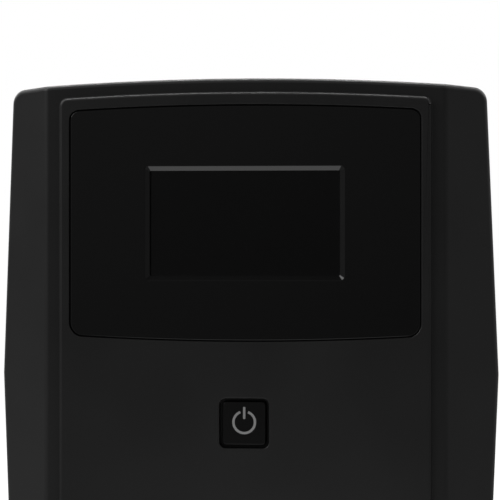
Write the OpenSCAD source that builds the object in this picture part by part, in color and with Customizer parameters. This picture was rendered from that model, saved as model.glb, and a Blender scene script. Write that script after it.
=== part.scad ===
// Tower uninterruptible power supply: moulded front bezel on a sheet-steel case.
// +Z is up, the front faces -Y and +X is to the right of someone looking at the front.
// The origin is on the surface that the feet stand on, under the middle of the whole.

/* [Overall] */
// Width of the front bezel at its widest, half-way up
body_w = 140; // [138:1:190]
// Depth from the front of the bezel to the rearmost fitting
body_d = 345; // [342:1:450]
// Height of the front bezel at its crowned middle
bezel_h = 165.8; // [165:0.2:220]
// Height of the rubber feet
foot_h = 8; // [6:0.5:14]
// How far the rearmost fitting stands behind the rear panel
rear_reach = 6; // [5:0.5:10]

/* [Steel case] */
// Thickness of the steel sheet
sheet_t = 1.2; // [0.8:0.1:1.6]
// Step from the side of the bezel in to the side of the case
side_step = 4.5; // [3.5:0.5:8]
// Step from the top of the bezel down to the top of the case
top_step = 4.5; // [3.5:0.5:8]
// How far the bezel hangs below the underside of the case
bezel_drop = 3.8; // [0:0.1:5]
// Outer radius of the folds along the top of the cover
fold_r = 2.4; // [1.8:0.1:4]
// Width of a cooling slot
vent_w = 3.2; // [2:0.1:4]
// Height of a cooling slot in the sides of the cover
vent_l = 26; // [15:1:32]
// Number of cooling slots in a row
vent_n = 12; // [4:1:14]
// Diameter of the rubber feet
foot_dia = 18; // [14:1:22]

/* [Front bezel] */
// Depth of the bezel from front to back
bezel_d = 28; // [24:1:40]
// Width of the flat front between the two sloping cheeks
flat_w = 110.6; // [107:0.2:118]
// How far back the cheeks slope before the sides begin
cheek_d = 14; // [8:0.5:18]
// How much narrower each side is at the top and bottom than half-way up
waist = 3.6; // [0:0.1:4]
// Radius of the crowned top and bottom edges
crown_r = 800; // [500:10:2000]
// Radius of the outer corners
bezel_corner = 4; // [2:0.5:8]
// Wall of the moulded shell
shell_t = 2.5; // [2:0.1:3.5]
// Thickness of the front wall behind the flat band
front_t = 2.9; // [2.6:0.1:4]
// How far the raised frame stands in front of the flat band
frame_rise = 1.8; // [1:0.1:2.4]
// Width of the raised frame
frame_w = 102.4; // [100:0.2:106]
// Step from the edge of the bezel in to the raised frame at the top and bottom
frame_step = 4.7; // [3:0.1:8]
// Corner radius of the raised frame
frame_corner = 2.2; // [1:0.1:4]
// Number of air slots low on the front
intake_n = 5; // [2:1:6]
// Length of an air slot low on the front
intake_l = 60; // [40:1:80]

/* [Display] */
// Width of the glossy panel
panel_w = 96.3; // [84:0.1:98]
// Height of the glossy panel at its middle
panel_h = 64.5; // [50:0.5:75]
// Step from the top of the raised frame down to the panel
panel_step = 3.7; // [2:0.1:8]
// Thickness of the panel
panel_t = 2.4; // [2:0.1:2.6]
// How far the panel lies below the raised frame
panel_sink = 0.2; // [0:0.05:0.4]
// Groove all round the panel
panel_gap = 0.35; // [0.2:0.05:0.6]
// Radius of the upper corners of the panel
panel_top_r = 2.5; // [1:0.1:5]
// Radius of the lower corners of the panel
panel_low_r = 3.5; // [1:0.1:6]
// Width of the window
window_w = 53; // [40:0.5:60]
// Height of the window
window_h = 28.9; // [20:0.1:34]
// Distance from the top of the panel to the middle of the window
window_drop = 32.3; // [28:0.1:34]
// Width of the sloping edge round the window
window_edge = 1.3; // [0.6:0.1:1.6]
// Thickness of the clear lens
lens_t = 1.2; // [0.8:0.1:1.4]
// How far the lens reaches behind the panel all round the window
lens_rim = 3; // [2:0.5:4]

/* [Power button] */
// Width and height of the button's face
button_w = 11.5; // [9:0.1:14]
// Gap between the button's face and the edge of the recess
recess_gap = 1.1; // [0.6:0.1:1.6]
// Depth of the recess round the button
recess_d = 1.6; // [1:0.1:2]
// Distance from the bottom of the panel to the middle of the button
button_below = 22.75; // [18:0.25:28]
// How far the button moves when it is pressed
button_travel = 1.5; // [0.8:0.1:2]
// Radius of the ring of the power symbol, to the middle of its line
symbol_r = 2.9; // [2:0.1:3.5]
// Width of the power symbol's line
symbol_line = 0.8; // [0.4:0.1:1]

/* [Power parts] */
// Width of a battery across the case
battery_w = 94; // [70:1:96]
// Depth of a battery from front to back
battery_d = 65; // [50:1:68]
// Height of a battery as it stands
battery_h = 151; // [100:1:151]
// Depth of the transformer's core from front to back
core_d = 96; // [80:1:100]
// Height of the transformer's core
core_h = 80; // [60:1:84]
// Thickness of the stack of laminations
core_stack = 55; // [35:1:58]
// Length of the main board
board_l = 158; // [150:1:170]
// Height of the main board
board_h = 134; // [132:1:140]
// Outer width and height of the fan
fan_w = 60; // [50:1:72]
// Thickness of the fan
fan_t = 15; // [12:1:25]

/* [Fits] */
// Gap round a screw or spigot in its hole
screw_gap = 0.1; // [0.05:0.01:0.3]
// Gap round the moving power button in its guide
slide_gap = 0.3; // [0.2:0.05:0.5]
// Gap round a fitting in its cut-out or pocket
seat_gap = 0.2; // [0.1:0.05:0.4]
// Gap round a shaft or plunger that runs in a bore
run_gap = 0.06; // [0.03:0.01:0.1]

/* [Hidden] */
$fn = 48;

// Case: inner faces and the places that everything else is set out from
case_w = body_w - 2 * side_step;
x_out = case_w / 2;
x_in = x_out - sheet_t;
y_face = -body_d / 2;
y_case = y_face + bezel_d;
y_back = body_d / 2 - rear_reach;
y_in_back = y_back - sheet_t;
z_case = foot_h;
z_floor = z_case + sheet_t;
z_low = foot_h - bezel_drop;
z_mid = z_low + bezel_h / 2;
z_cover = z_low + bezel_h - top_step;
z_roof = z_cover - sheet_t;
flange_h = 15;

// Bezel
y_flat = y_face + frame_rise;
y_skin = y_flat + front_t;
side_slope = waist / (bezel_h / 2);
cheek_angle = atan(cheek_d / ((body_w - flat_w) / 2));
lip_t = 3;
lip_w = 6.5;
corner_steps = 6;
crown_steps = 24;
intake_w = 3;
intake_pitch = 6.7;
intake_top = 45;

// Display, measured up and down from the middle of the bezel
panel_top = bezel_h / 2 - frame_step - panel_step;
panel_low = panel_top - panel_h;
y_panel = y_face + panel_sink;
y_pocket = y_panel + panel_t;
y_lens = y_pocket + lens_t;
window_z = z_mid + panel_top - window_drop;
lcd_rim = 2.5;
lcd_t = 2.8;
holder_wall = 3;
display_gap = 9.8;
y_board = y_skin + display_gap;
pcb_t = 1.6;
display_w = max(80, window_w + 27);
display_low = z_mid + panel_low - button_below - 12;
display_high = window_z + window_h / 2 + 10;
display_boss_x = display_w / 2 - 4;
display_boss_z = [display_low + 4, display_high - 4];

// Power button and its switch
button_z = z_mid + panel_low - button_below;
button_sink = 0.4;
button_corner = 1;
collar_w = button_w + 3.5;
collar_t = 1.2;
y_collar = y_skin + 0.05;
stem_r = 2;
symbol_t = 0.1;
switch_w = 7;
switch_t = 4;
plunger_r = 1.75;
plunger_out = display_gap - switch_t - collar_t - 2.6;
y_plunger = y_board - switch_t - plunger_out;
spring_wire = 0.4;
spring_r = switch_w * 0.71 + 2 * spring_wire + 0.3;
spring_turns = 4;

// Screws: shank radius, and the head's radius and height
small_r = 1.1;
m3_r = 1.5;
m4_r = 2;
m5_r = 2.5;
bezel_boss_r = 4;
bezel_boss_x = flat_w / 2 - 3.3;
bezel_boss_z = 60;
foot_x = x_out - 15;
foot_y = [y_case + 25, y_back - 25];
cover_screw_y = [y_case + 20, y_back - 36];
cover_screw_z = z_floor + flange_h / 2;
panel_flange = 12;
panel_screw_x = 30;
panel_screw_y = y_in_back - panel_flange / 2;
cover_rear_y = y_in_back - panel_flange / 2;
vent_pitch = 9;
vent_rows = 2;

// Batteries
pad_t = 1.5;
battery_x = -x_in + sheet_t + 1.1;
battery_y = [y_case + sheet_t + 3.3, y_case + sheet_t + 5.3 + battery_d];
battery_z = z_floor + pad_t;
battery_end = battery_y[1] + battery_d;
tab_l = 6.5;
tab_w = 6.3;
tab_t = 0.8;
tab_x = battery_x + battery_w;
tab_y = [for (y = battery_y) y + battery_d / 2 - 15];
tab_z = [battery_z + 12, battery_z + battery_h - 12];
bracket_y = battery_end + 1;
bracket_foot = 14;
bracket_screw_x = [battery_x + 20, battery_x + battery_w - 20];
bracket_screw_y = bracket_y + sheet_t + 8;

// Transformer
base_t = 2;
core_y = bracket_y + sheet_t + bracket_foot + 17;
core_mid = core_y + core_d / 2;
core_z = z_floor + base_t;
core_leg = core_d / 3;
core_yoke = core_d / 6;
coil_out = 16;
coil_x = core_stack / 2 + coil_out;
core_x = battery_x + coil_x + 4;
bobbin_t = 1.5;
window_clear = 0.4;
base_over = 12;
bolt_x = [core_x - core_stack / 3, core_x + core_stack / 3];
bolt_y = [core_y - base_over / 2, core_y + core_d + base_over / 2];

// Main board, on the right-hand wall of the tray
standoff_l = 6;
board_x = x_in - sheet_t - standoff_l - pcb_t;
board_y1 = y_in_back - panel_flange - 5;
board_y = board_y1 - board_l;
board_z = z_floor + 6;
standoff_at = [for (y = [board_y + 30, board_y1 - 8]) for (z = [board_z + 5, board_z + board_h - 3]) [y, z]];
wall_y = [board_y - 4, board_y1 + 4];
block_size = [12, 20, 14];
header_size = [8, 8, 16];
sink_size = [24, 100, 16];
sink_base = 3;
sink_fin = 1.4;
sink_fins = 6;
sink_y = board_y + 34;
sink_z = [board_z + 92, board_z + 114];
transistor_size = [15, 12, 4.5];
transistor_n = 6;
relay_size = [16, 20, 16];
relay_n = 4;
relay_pitch = 24;
capacitor_r = 9;
capacitor_l = 23;
capacitor_z = [30, 50, 92, 113];

// Fittings on the rear panel
fan_x = -x_in + fan_w / 2 + 6;
fan_z = z_roof - fan_w / 2 - 9;
fan_bore = fan_w / 2 - 1.5;
fan_pitch = fan_w * 50 / 60;
fan_y = y_in_back - fan_t;
fan_hub = fan_w * 0.21;
fan_strut = 3;
fan_shaft = 1.5;
fan_gap = 1;
fan_blades = 7;
grille_rings = 4;
grille_spoke = 4;
column_x = x_in - 26.3;
inlet_z = z_roof - 27;
breaker_z = inlet_z - 29;
data_z = breaker_z - 30;
usb_z = data_z - 24;
outlet_pitch = [34, 28];
outlet_x = -x_in + 22.3;
outlet_z = z_floor + 28.8;
socket_w = 27.6;
socket_h = 19.8;
socket_rim = 2.2;
socket_flange = 2.5;
cavity_w = 24.4;
cavity_h = 16.8;
cavity_d = 17;
island_gap = 1.9;
pin_size = [2, 14, 4];
pin_pitch = 7;
pin_shift = 2;
port_w = 15.4;
port_h = 14;
port_hole = [12, 8.4, 12.5];
usb_size = [12.2, 11, 16];
breaker_neck = 6;
breaker_r = 3.4;
breaker_l = 14;

// Ribbon between the display board and the main board
ribbon_w = 12;
ribbon_t = 0.9;
ribbon_x = board_x - 5.5;
plug_size = [12, 5, 16];
plug_x = 24;
ribbon_slot = [12, ribbon_w + 4];
ribbon_y = y_board + pcb_t + 2.5;
ribbon_path = [[plug_x + plug_size[0], ribbon_y], [ribbon_x, ribbon_y], [ribbon_x, board_y]];

// Battery leads: each runs from a boot on its tab, and bends round to the terminal block
lead_r = 1.8;
lead_sides = 8;
boot_l = 5.5;
boot_r = 3.2;
lead_bend = 4.2;
lead_x = tab_x + tab_l + boot_l;
block_y = board_y + 4;
link_path = [
    [lead_x, tab_y[0], tab_z[1]], [lead_x + 5, tab_y[0], tab_z[1]],
    [lead_x + 5, tab_y[1], tab_z[1]], [lead_x, tab_y[1], tab_z[1]]
];
function supply_path(tab, z) = [
    [lead_x, tab, tab_z[0]], [board_x - 7, tab, tab_z[0]],
    [board_x - 7, tab + 28, z], [board_x - 7, block_y, z]
];
positive_z = board_z + 5.5;
negative_z = board_z + 12.5;

// ---- Shared shapes ----

// A plate between two depths, drawn as (x, z)
module slab_y(y0, y1) {
    translate([0, y1, 0]) rotate([90, 0, 0]) linear_extrude(y1 - y0) children();
}

// A plate between two places across, drawn as (y, z)
module slab_x(x0, x1) {
    translate([x0, 0, 0]) rotate([90, 0, 90]) linear_extrude(x1 - x0) children();
}

// A block between two corners
module block(a, b) {
    translate(a) cube(b - a);
}

// A rectangle with round corners, about its middle
module pad(w, h, r) {
    square([w - 2 * r, h], center = true);
    square([w, h - 2 * r], center = true);
    for (x = [-1, 1]) for (z = [-1, 1]) translate([x * (w / 2 - r), z * (h / 2 - r)]) circle(r);
}

// A slot with round ends
module slot(l, w) {
    square([l - w, w], center = true);
    for (x = [-1, 1]) translate([x * (l - w) / 2, 0]) circle(w / 2, $fn = 24);
}

// A rectangle with its two upper corners cut off, the outline of a mains connector
module connector(w, h, cut = 4.4) {
    polygon([
        [-w / 2, -h / 2], [w / 2, -h / 2], [w / 2, h / 2 - cut],
        [w / 2 - cut, h / 2], [cut - w / 2, h / 2], [-w / 2, h / 2 - cut]
    ]);
}

module rod_y(x, z, y0, y1, r) {
    translate([x, y0, z]) rotate([-90, 0, 0]) cylinder(h = y1 - y0, r = r);
}

module rod_x(y, z, x0, x1, r) {
    translate([x0, y, z]) rotate([0, 90, 0]) cylinder(h = x1 - x0, r = r);
}

// A screw with its head above z = 0, a cross recess and its shank below
module screw(r, l) {
    head_r = 1.9 * r;
    head_h = 1.3 * r;
    difference() {
        cylinder(h = head_h, r1 = head_r, r2 = head_r * 0.8);
        for (a = [0, 90]) rotate(a) translate([0, 0, head_h]) cube([2 * r, 0.4 * r, r], center = true);
    }
    translate([0, 0, -l]) cylinder(h = l, r = r);
}

// The crowned upper edge of an outline, from its right-hand side round to its left
function upper_edge(half, slope, top, crown, corner) =
    let (
        lean = atan(slope),
        middle = top - crown,
        a = half - corner / cos(lean),
        b = a * slope + middle,
        c = 1 + slope * slope,
        z = (b + sqrt(b * b - c * (a * a + middle * middle - pow(crown - corner, 2)))) / c,
        x = a - slope * z,
        turn = atan2(z - middle, x)
    )
    concat(
        [for (i = [0:corner_steps]) let (t = lean + (turn - lean) * i / corner_steps)
            [x + corner * cos(t), z + corner * sin(t)]],
        [for (i = [1:crown_steps - 1]) let (t = turn + (180 - 2 * turn) * i / crown_steps)
            [crown * cos(t), middle + crown * sin(t)]],
        [for (i = [corner_steps:-1:0]) let (t = lean + (turn - lean) * i / corner_steps)
            [-x - corner * cos(t), z + corner * sin(t)]]
    );

// A closed outline, crowned at the top and bottom and widest at its middle
module crowned(half, slope, top, low, crown, top_corner, low_corner) {
    side = slope > 0 ? [[half, 0]] : [];
    polygon(concat(
        side,
        upper_edge(half, slope, top, crown, top_corner),
        [for (p = side) -p],
        [for (p = upper_edge(half, slope, -low, crown, low_corner)) -p]
    ));
}

// A path with its corners rounded off, by no more than the stretches beside each corner allow
function bent(p, r, n) =
    let (last = len(p) - 1)
    concat(
        [p[0]],
        [for (i = [1:last - 1])
            let (
                before = p[i - 1] - p[i],
                after = p[i + 1] - p[i],
                a = min(r, norm(before) * (i == 1 ? 0.95 : 0.45)),
                b = min(r, norm(after) * (i == last - 1 ? 0.95 : 0.45)),
                from = p[i] + before * a / norm(before),
                to = p[i] + after * b / norm(after)
            )
            for (k = [0:n]) let (t = k / n) (1 - t) * (1 - t) * from + 2 * t * (1 - t) * p[i] + t * t * to],
        [p[last]]
    );

// A round tube swept along a list of points; no stretch may run along the side vector
module sweep(path, r, side) {
    last = len(path) - 1;
    n = lead_sides;
    rings = [for (i = [0:last])
        let (
            t = path[min(i + 1, last)] - path[max(i - 1, 0)],
            u = cross(t, side) / norm(cross(t, side)),
            v = cross(t, u) / norm(cross(t, u))
        )
        for (j = [0:n - 1]) path[i] + r * (cos(360 * j / n) * u + sin(360 * j / n) * v)];
    walls = [for (i = [0:last - 1]) for (j = [0:n - 1])
        let (k = (j + 1) % n) [i * n + j, (i + 1) * n + j, (i + 1) * n + k, i * n + k]];
    ends = [[for (j = [0:n - 1]) j], [for (j = [n - 1:-1:0]) last * n + j]];
    polyhedron(rings, concat(walls, ends));
}

// ---- Front bezel and display ----

module bezel_outline(inset) {
    translate([0, z_mid])
        crowned(body_w / 2 - inset, side_slope, bezel_h / 2 - inset, inset - bezel_h / 2,
            crown_r - inset, max(bezel_corner - inset, 1), max(bezel_corner - inset, 1));
}

// Seen from above: flat front, sloping cheeks and straight sides, moved in by the wall
module bezel_plan(inset, front, back) {
    half = body_w / 2 - inset;
    run = (front - y_flat - inset * cos(cheek_angle)) / tan(cheek_angle);
    corner = flat_w / 2 - inset * sin(cheek_angle) + run;
    shoulder = front + (half - corner) * tan(cheek_angle);
    polygon([
        [-half, back], [-half, shoulder], [-corner, front],
        [corner, front], [half, shoulder], [half, back]
    ]);
}

module panel_outline(grow) {
    translate([0, z_mid])
        crowned(panel_w / 2 + grow, 0, panel_top + grow, panel_low - grow,
            crown_r - frame_step - panel_step, panel_top_r + grow, panel_low_r + grow);
}

module bezel_solid() {
    intersection() {
        slab_y(y_flat, y_case) bezel_outline(0);
        translate([0, 0, z_low - 1]) linear_extrude(bezel_h + 2) bezel_plan(0, y_flat, y_case);
    }
    slab_y(y_face, y_flat + 0.5) translate([0, z_mid])
        crowned(frame_w / 2, 0, bezel_h / 2 - frame_step, frame_step - bezel_h / 2,
            crown_r - frame_step, frame_corner, frame_corner);
}

module bezel_hollow() {
    intersection() {
        slab_y(y_skin, y_case - lip_t) bezel_outline(shell_t);
        translate([0, 0, z_low - 1]) linear_extrude(bezel_h + 2)
            bezel_plan(shell_t, y_skin, y_case - lip_t);
    }
    slab_y(y_case - lip_t - 1, y_case + 1)
        translate([0, (z_case + z_cover) / 2])
            pad(case_w - 2 * lip_w, z_cover - z_case - 2 * lip_w, 3);
}

module front_bezel() {
    color("#1c1c1d")
        difference() {
            union() {
                difference() {
                    bezel_solid();
                    bezel_hollow();
                }
                for (x = [-1, 1]) for (z = [-1, 1])
                    rod_y(x * bezel_boss_x, z_mid + z * bezel_boss_z, y_skin - 0.5, y_case, bezel_boss_r);
                for (x = [-1, 1]) for (z = display_boss_z)
                    rod_y(x * display_boss_x, z, y_skin - 0.5, y_board, 3);
            }
            slab_y(y_face - 1, y_pocket) panel_outline(panel_gap);
            slab_y(y_pocket - 1, y_lens) translate([0, window_z])
                pad(window_w + 2 * lens_rim + 2 * seat_gap, window_h + 2 * lens_rim + 2 * seat_gap, 1.5);
            slab_y(y_lens - 1, y_skin + 1) translate([0, window_z]) pad(window_w, window_h, 0.5);
            slab_y(y_face - 1, y_face + recess_d) translate([0, button_z])
                pad(button_w + 2 * recess_gap, button_w + 2 * recess_gap, button_corner + 0.8);
            slab_y(y_face, y_skin + 1) translate([0, button_z])
                pad(button_w + 2 * slide_gap, button_w + 2 * slide_gap, button_corner + slide_gap);
            for (i = [0:intake_n - 1])
                slab_y(y_face - 1, y_skin + 1)
                    translate([0, z_mid - intake_top - i * intake_pitch]) slot(intake_l, intake_w);
            for (x = [-1, 1]) for (z = [-1, 1])
                rod_y(x * bezel_boss_x, z_mid + z * bezel_boss_z, y_case - 12, y_case + 1, m3_r + screw_gap);
            for (x = [-1, 1]) for (z = display_boss_z)
                rod_y(x * display_boss_x, z, y_board - 7, y_board + 1, small_r + screw_gap);
        }
}

// A solid that widens evenly from the window's size to the outside of its sloping edge
module window_slope() {
    w = window_w / 2;
    h = window_h / 2;
    front = -0.01;
    intersection() {
        translate([0, 0, -window_h]) linear_extrude(2 * window_h)
            polygon([
                [-w - window_edge, front], [w + window_edge, front],
                [w, window_edge], [-w, window_edge]
            ]);
        slab_x(-window_w, window_w)
            polygon([
                [front, -h - window_edge], [front, h + window_edge],
                [window_edge, h], [window_edge, -h]
            ]);
    }
}

module display_panel() {
    color("#0c0c0d")
        difference() {
            slab_y(y_panel, y_pocket) panel_outline(0);
            slab_y(y_panel - 1, y_pocket + 1) translate([0, window_z])
                square([window_w, window_h], center = true);
            translate([0, y_panel, window_z]) window_slope();
        }
}

module display_lens() {
    color("#15171a")
        slab_y(y_pocket, y_lens) translate([0, window_z])
            pad(window_w + 2 * lens_rim, window_h + 2 * lens_rim, 1.3);
}

module lcd_module() {
    w = window_w + 2 * lcd_rim;
    h = window_h + 2 * lcd_rim;
    color("#1a1c1c")
        block([-w / 2, y_skin + 0.1, window_z - h / 2], [w / 2, y_skin + 0.1 + lcd_t, window_z + h / 2]);
}

module lcd_holder() {
    w = window_w + 2 * lcd_rim;
    h = window_h + 2 * lcd_rim;
    ledge = y_skin + 0.1 + lcd_t;
    color("gainsboro")
        difference() {
            slab_y(y_skin, y_board) translate([0, window_z])
                pad(w + 2 * holder_wall, h + 2 * holder_wall, 1);
            slab_y(y_skin - 1, ledge) translate([0, window_z])
                square([w + 2 * seat_gap, h + 2 * seat_gap], center = true);
            slab_y(ledge + 1.5, y_board + 1) translate([0, window_z]) square([w - 4, h - 4], center = true);
        }
}

module display_board() {
    color("#1f5c39")
        difference() {
            block([-display_w / 2, y_board, display_low], [display_w / 2, y_board + pcb_t, display_high]);
            for (x = [-1, 1]) for (z = display_boss_z)
                rod_y(x * display_boss_x, z, y_board - 1, y_board + pcb_t + 1, small_r + screw_gap);
        }
}

module display_board_screws() {
    color("silver")
        for (x = [-1, 1]) for (z = display_boss_z)
            translate([x * display_boss_x, y_board + pcb_t, z]) rotate([-90, 0, 0]) screw(small_r, 8);
}

module bezel_screws() {
    color("silver")
        for (x = [-1, 1]) for (z = [-1, 1])
            translate([x * bezel_boss_x, y_case + sheet_t, z_mid + z * bezel_boss_z])
                rotate([-90, 0, 0]) screw(m3_r, 10);
}

// ---- Power button ----

module power_button() {
    color("#131314") {
        slab_y(y_face + button_sink, y_collar) translate([0, button_z])
            pad(button_w, button_w, button_corner);
        slab_y(y_collar, y_collar + collar_t) translate([0, button_z]) pad(collar_w, collar_w, 1.5);
        rod_y(0, button_z, y_collar + collar_t, y_plunger, stem_r);
    }
}

// A ring that is open at the top, with a bar in the opening
module power_symbol() {
    gap = 1.6 * symbol_line;
    color("#a8a8a8")
        slab_y(y_face + button_sink - symbol_t, y_face + button_sink) translate([0, button_z + 0.3]) {
            difference() {
                circle(symbol_r + symbol_line / 2);
                circle(symbol_r - symbol_line / 2);
                translate([-gap, 0]) square([2 * gap, 2 * symbol_r]);
            }
            translate([-symbol_line / 2, symbol_r * 0.3]) square([symbol_line, symbol_r * 1.15]);
        }
}

module button_spring() {
    y0 = y_collar + collar_t + spring_wire;
    y1 = y_board - spring_wire;
    steps = 16 * spring_turns;
    color("silver")
        sweep([for (i = [0:steps]) let (a = 360 * i / 16)
            [spring_r * cos(a), y0 + (y1 - y0) * i / steps, button_z + spring_r * sin(a)]],
            spring_wire, [0, 1, 0]);
}

module power_switch() {
    color("#26262a")
        difference() {
            slab_y(y_board - switch_t, y_board) translate([0, button_z]) pad(switch_w, switch_w, 0.6);
            rod_y(0, button_z, y_board - switch_t - 1, y_board - 0.4, plunger_r + run_gap);
        }
}

module switch_plunger() {
    color("firebrick")
        rod_y(0, button_z, y_plunger, y_board - 0.5 - button_travel, plunger_r);
}

// ---- Ribbon cable ----

function band_side(p, t) = [for (i = [0:len(p) - 1])
    let (d = p[min(i + 1, len(p) - 1)] - p[max(i - 1, 0)]) p[i] + t * [-d[1], d[0]] / norm(d)];

module ribbon_cable() {
    path = bent(ribbon_path, 6, 6);
    back = band_side(path, ribbon_t / 2);
    front = band_side(path, -ribbon_t / 2);
    color("#8d8f92") {
        translate([0, 0, z_mid - ribbon_w / 2]) linear_extrude(ribbon_w)
            polygon(concat(back, [for (i = [len(front) - 1:-1:0]) front[i]]));
        block([plug_x, y_board + pcb_t, z_mid - plug_size[2] / 2],
            [plug_x + plug_size[0], y_board + pcb_t + plug_size[1], z_mid + plug_size[2] / 2]);
    }
}

// ---- Steel case ----

module chassis_tray() {
    color("#3c3e40")
        difference() {
            union() {
                block([-x_in, y_case, z_case], [x_in, y_back, z_floor]);
                block([-x_in, y_case, z_case], [x_in, y_case + sheet_t, z_roof]);
                for (x = [-x_in, x_in - sheet_t])
                    block([x, y_case, z_case], [x + sheet_t, wall_y[1], z_floor + flange_h]);
                block([x_in - sheet_t, wall_y[0], z_case], [x_in, wall_y[1], board_z + board_h + 4]);
            }
            for (x = [-1, 1]) for (z = [-1, 1])
                rod_y(x * bezel_boss_x, z_mid + z * bezel_boss_z, y_case - 1, y_case + sheet_t + 1,
                    m3_r + screw_gap);
            slab_y(y_case - 1, y_case + sheet_t + 1) translate([ribbon_x, z_mid])
                square(ribbon_slot, center = true);
            for (x = [-1, 1]) for (y = foot_y)
                translate([x * foot_x, y, z_case - 1]) cylinder(h = sheet_t + 2, r = m4_r + screw_gap);
            for (x = bracket_screw_x)
                translate([x, bracket_screw_y, z_case - 1]) cylinder(h = sheet_t + 2, r = m3_r + screw_gap);
            for (x = [-1, 1])
                translate([x * panel_screw_x, panel_screw_y, z_case - 1])
                    cylinder(h = sheet_t + 2, r = m3_r + screw_gap);
            for (x = bolt_x) for (y = bolt_y)
                translate([x, y, z_case - 1]) cylinder(h = sheet_t + 2, r = m5_r + screw_gap);
            for (y = cover_screw_y)
                rod_x(y, cover_screw_z, -x_in - 1, x_in + 1, m3_r + screw_gap);
            for (p = standoff_at)
                rod_x(p[0], p[1], x_in - sheet_t - 1, x_in + 1, m4_r + screw_gap);
        }
}

module cover_profile() {
    difference() {
        union() {
            translate([-x_out, z_case]) square([case_w, z_cover - z_case - fold_r]);
            translate([-x_out + fold_r, z_case]) square([case_w - 2 * fold_r, z_cover - z_case]);
            for (x = [-1, 1]) translate([x * (x_out - fold_r), z_cover - fold_r]) circle(fold_r);
        }
        translate([-x_in, z_case - 1]) square([2 * x_in, z_roof - z_case + 1]);
    }
}

module top_cover() {
    vent_y = core_mid - vent_pitch * (vent_n - 1) / 2;
    color("#2b2c2e")
        difference() {
            slab_y(y_case, y_back) cover_profile();
            slab_x(-x_out - 1, x_out + 1)
                for (i = [0:vent_n - 1]) for (k = [0:vent_rows - 1])
                    translate([vent_y + i * vent_pitch, z_mid - 20 + k * (vent_l + 10)])
                        rotate(90) slot(vent_l, vent_w);
            for (y = cover_screw_y) rod_x(y, cover_screw_z, -x_out - 1, x_out + 1, m3_r + screw_gap);
            rod_x(cover_rear_y, z_mid, -x_out - 1, x_out + 1, m3_r + screw_gap);
        }
}

// The rear fan blows through rings of slots between straight spokes
module grille() {
    step = (fan_bore - 4) / grille_rings;
    difference() {
        for (i = [0:grille_rings - 1]) difference() {
            circle(4 + step * (i + 1) - 0.6);
            circle(4 + step * (i + 1) - 0.6 - step * 0.6);
        }
        for (a = [45, 135]) rotate(a) square([fan_w, grille_spoke], center = true);
    }
}

module rear_panel() {
    color("#2b2c2e")
        difference() {
            union() {
                block([-x_in, y_in_back, z_floor], [x_in, y_back, z_roof]);
                for (x = [-x_in, x_in - sheet_t])
                    block([x, y_in_back - panel_flange, z_floor + flange_h + 2],
                        [x + sheet_t, y_in_back + 0.1, z_roof - 10]);
                block([-panel_screw_x - 8, y_in_back - panel_flange, z_floor],
                    [panel_screw_x + 8, y_in_back + 0.1, z_floor + sheet_t]);
            }
            slab_y(y_in_back - 1, y_back + 1) {
                translate([fan_x, fan_z]) grille();
                for (x = [-1, 1]) for (z = [-1, 1])
                    translate([fan_x + x * fan_pitch / 2, fan_z + z * fan_pitch / 2])
                        circle(m4_r + screw_gap);
                translate([column_x, inlet_z]) connector(socket_w + 2 * seat_gap, socket_h + 2 * seat_gap);
                translate([column_x, breaker_z]) circle(breaker_neck + seat_gap);
                translate([column_x, data_z])
                    square([2 * (port_w + seat_gap), port_h + 2 * seat_gap], center = true);
                translate([column_x, usb_z])
                    square([usb_size[0] + 2 * seat_gap, usb_size[1] + 2 * seat_gap], center = true);
                for (i = [0, 1]) for (k = [0, 1])
                    translate([outlet_x + i * outlet_pitch[0], outlet_z + k * outlet_pitch[1]])
                        connector(socket_w + 2 * seat_gap, socket_h + 2 * seat_gap);
            }
            for (x = [-1, 1])
                translate([x * panel_screw_x, panel_screw_y, z_floor - 1])
                    cylinder(h = sheet_t + 2, r = m3_r + screw_gap);
            rod_x(cover_rear_y, z_mid, -x_in - 1, x_in + 1, m3_r + screw_gap);
        }
}

module cover_screws() {
    color("silver")
        for (s = [-1, 1]) {
            for (y = cover_screw_y)
                translate([s * x_out, y, cover_screw_z]) rotate([0, s * 90, 0])
                    screw(m3_r, 2 * sheet_t + 0.8);
            translate([s * x_out, cover_rear_y, z_mid]) rotate([0, s * 90, 0])
                screw(m3_r, 2 * sheet_t + 0.8);
        }
}

module rear_panel_screws() {
    color("silver")
        for (x = [-1, 1])
            translate([x * panel_screw_x, panel_screw_y, z_case]) rotate([180, 0, 0])
                screw(m3_r, 2 * sheet_t + 3);
}

module rubber_feet() {
    color("#202020")
        for (x = [-1, 1]) for (y = foot_y) translate([x * foot_x, y, 0])
            difference() {
                cylinder(h = foot_h, r1 = foot_dia / 2 - 1, r2 = foot_dia / 2);
                translate([0, 0, -1]) cylinder(h = foot_h * 0.55 + 1, r = 2.1 * m4_r);
                translate([0, 0, -1]) cylinder(h = foot_h + 2, r = m4_r + screw_gap);
            }
}

module foot_screws() {
    color("silver")
        for (x = [-1, 1]) for (y = foot_y) translate([x * foot_x, y, foot_h * 0.55])
            rotate([180, 0, 0]) screw(m4_r, foot_h * 0.45 + sheet_t + 1.2);
}

// ---- Batteries ----

module battery(y) {
    lid = 7;
    neck = 1.2;
    color("#4a4d52") {
        block([battery_x, y, battery_z],
            [tab_x - lid - neck, y + battery_d, battery_z + battery_h]);
        block([tab_x - lid - neck - 1, y + neck, battery_z + neck],
            [tab_x - lid + 1, y + battery_d - neck, battery_z + battery_h - neck]);
        block([tab_x - lid, y, battery_z], [tab_x, y + battery_d, battery_z + battery_h]);
    }
}

module battery_front() {
    battery(battery_y[0]);
}

module battery_rear() {
    battery(battery_y[1]);
}

module battery_terminals() {
    color("goldenrod")
        for (y = tab_y) for (z = tab_z)
            block([tab_x, y - tab_w / 2, z - tab_t / 2], [tab_x + tab_l, y + tab_w / 2, z + tab_t / 2]);
}

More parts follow.
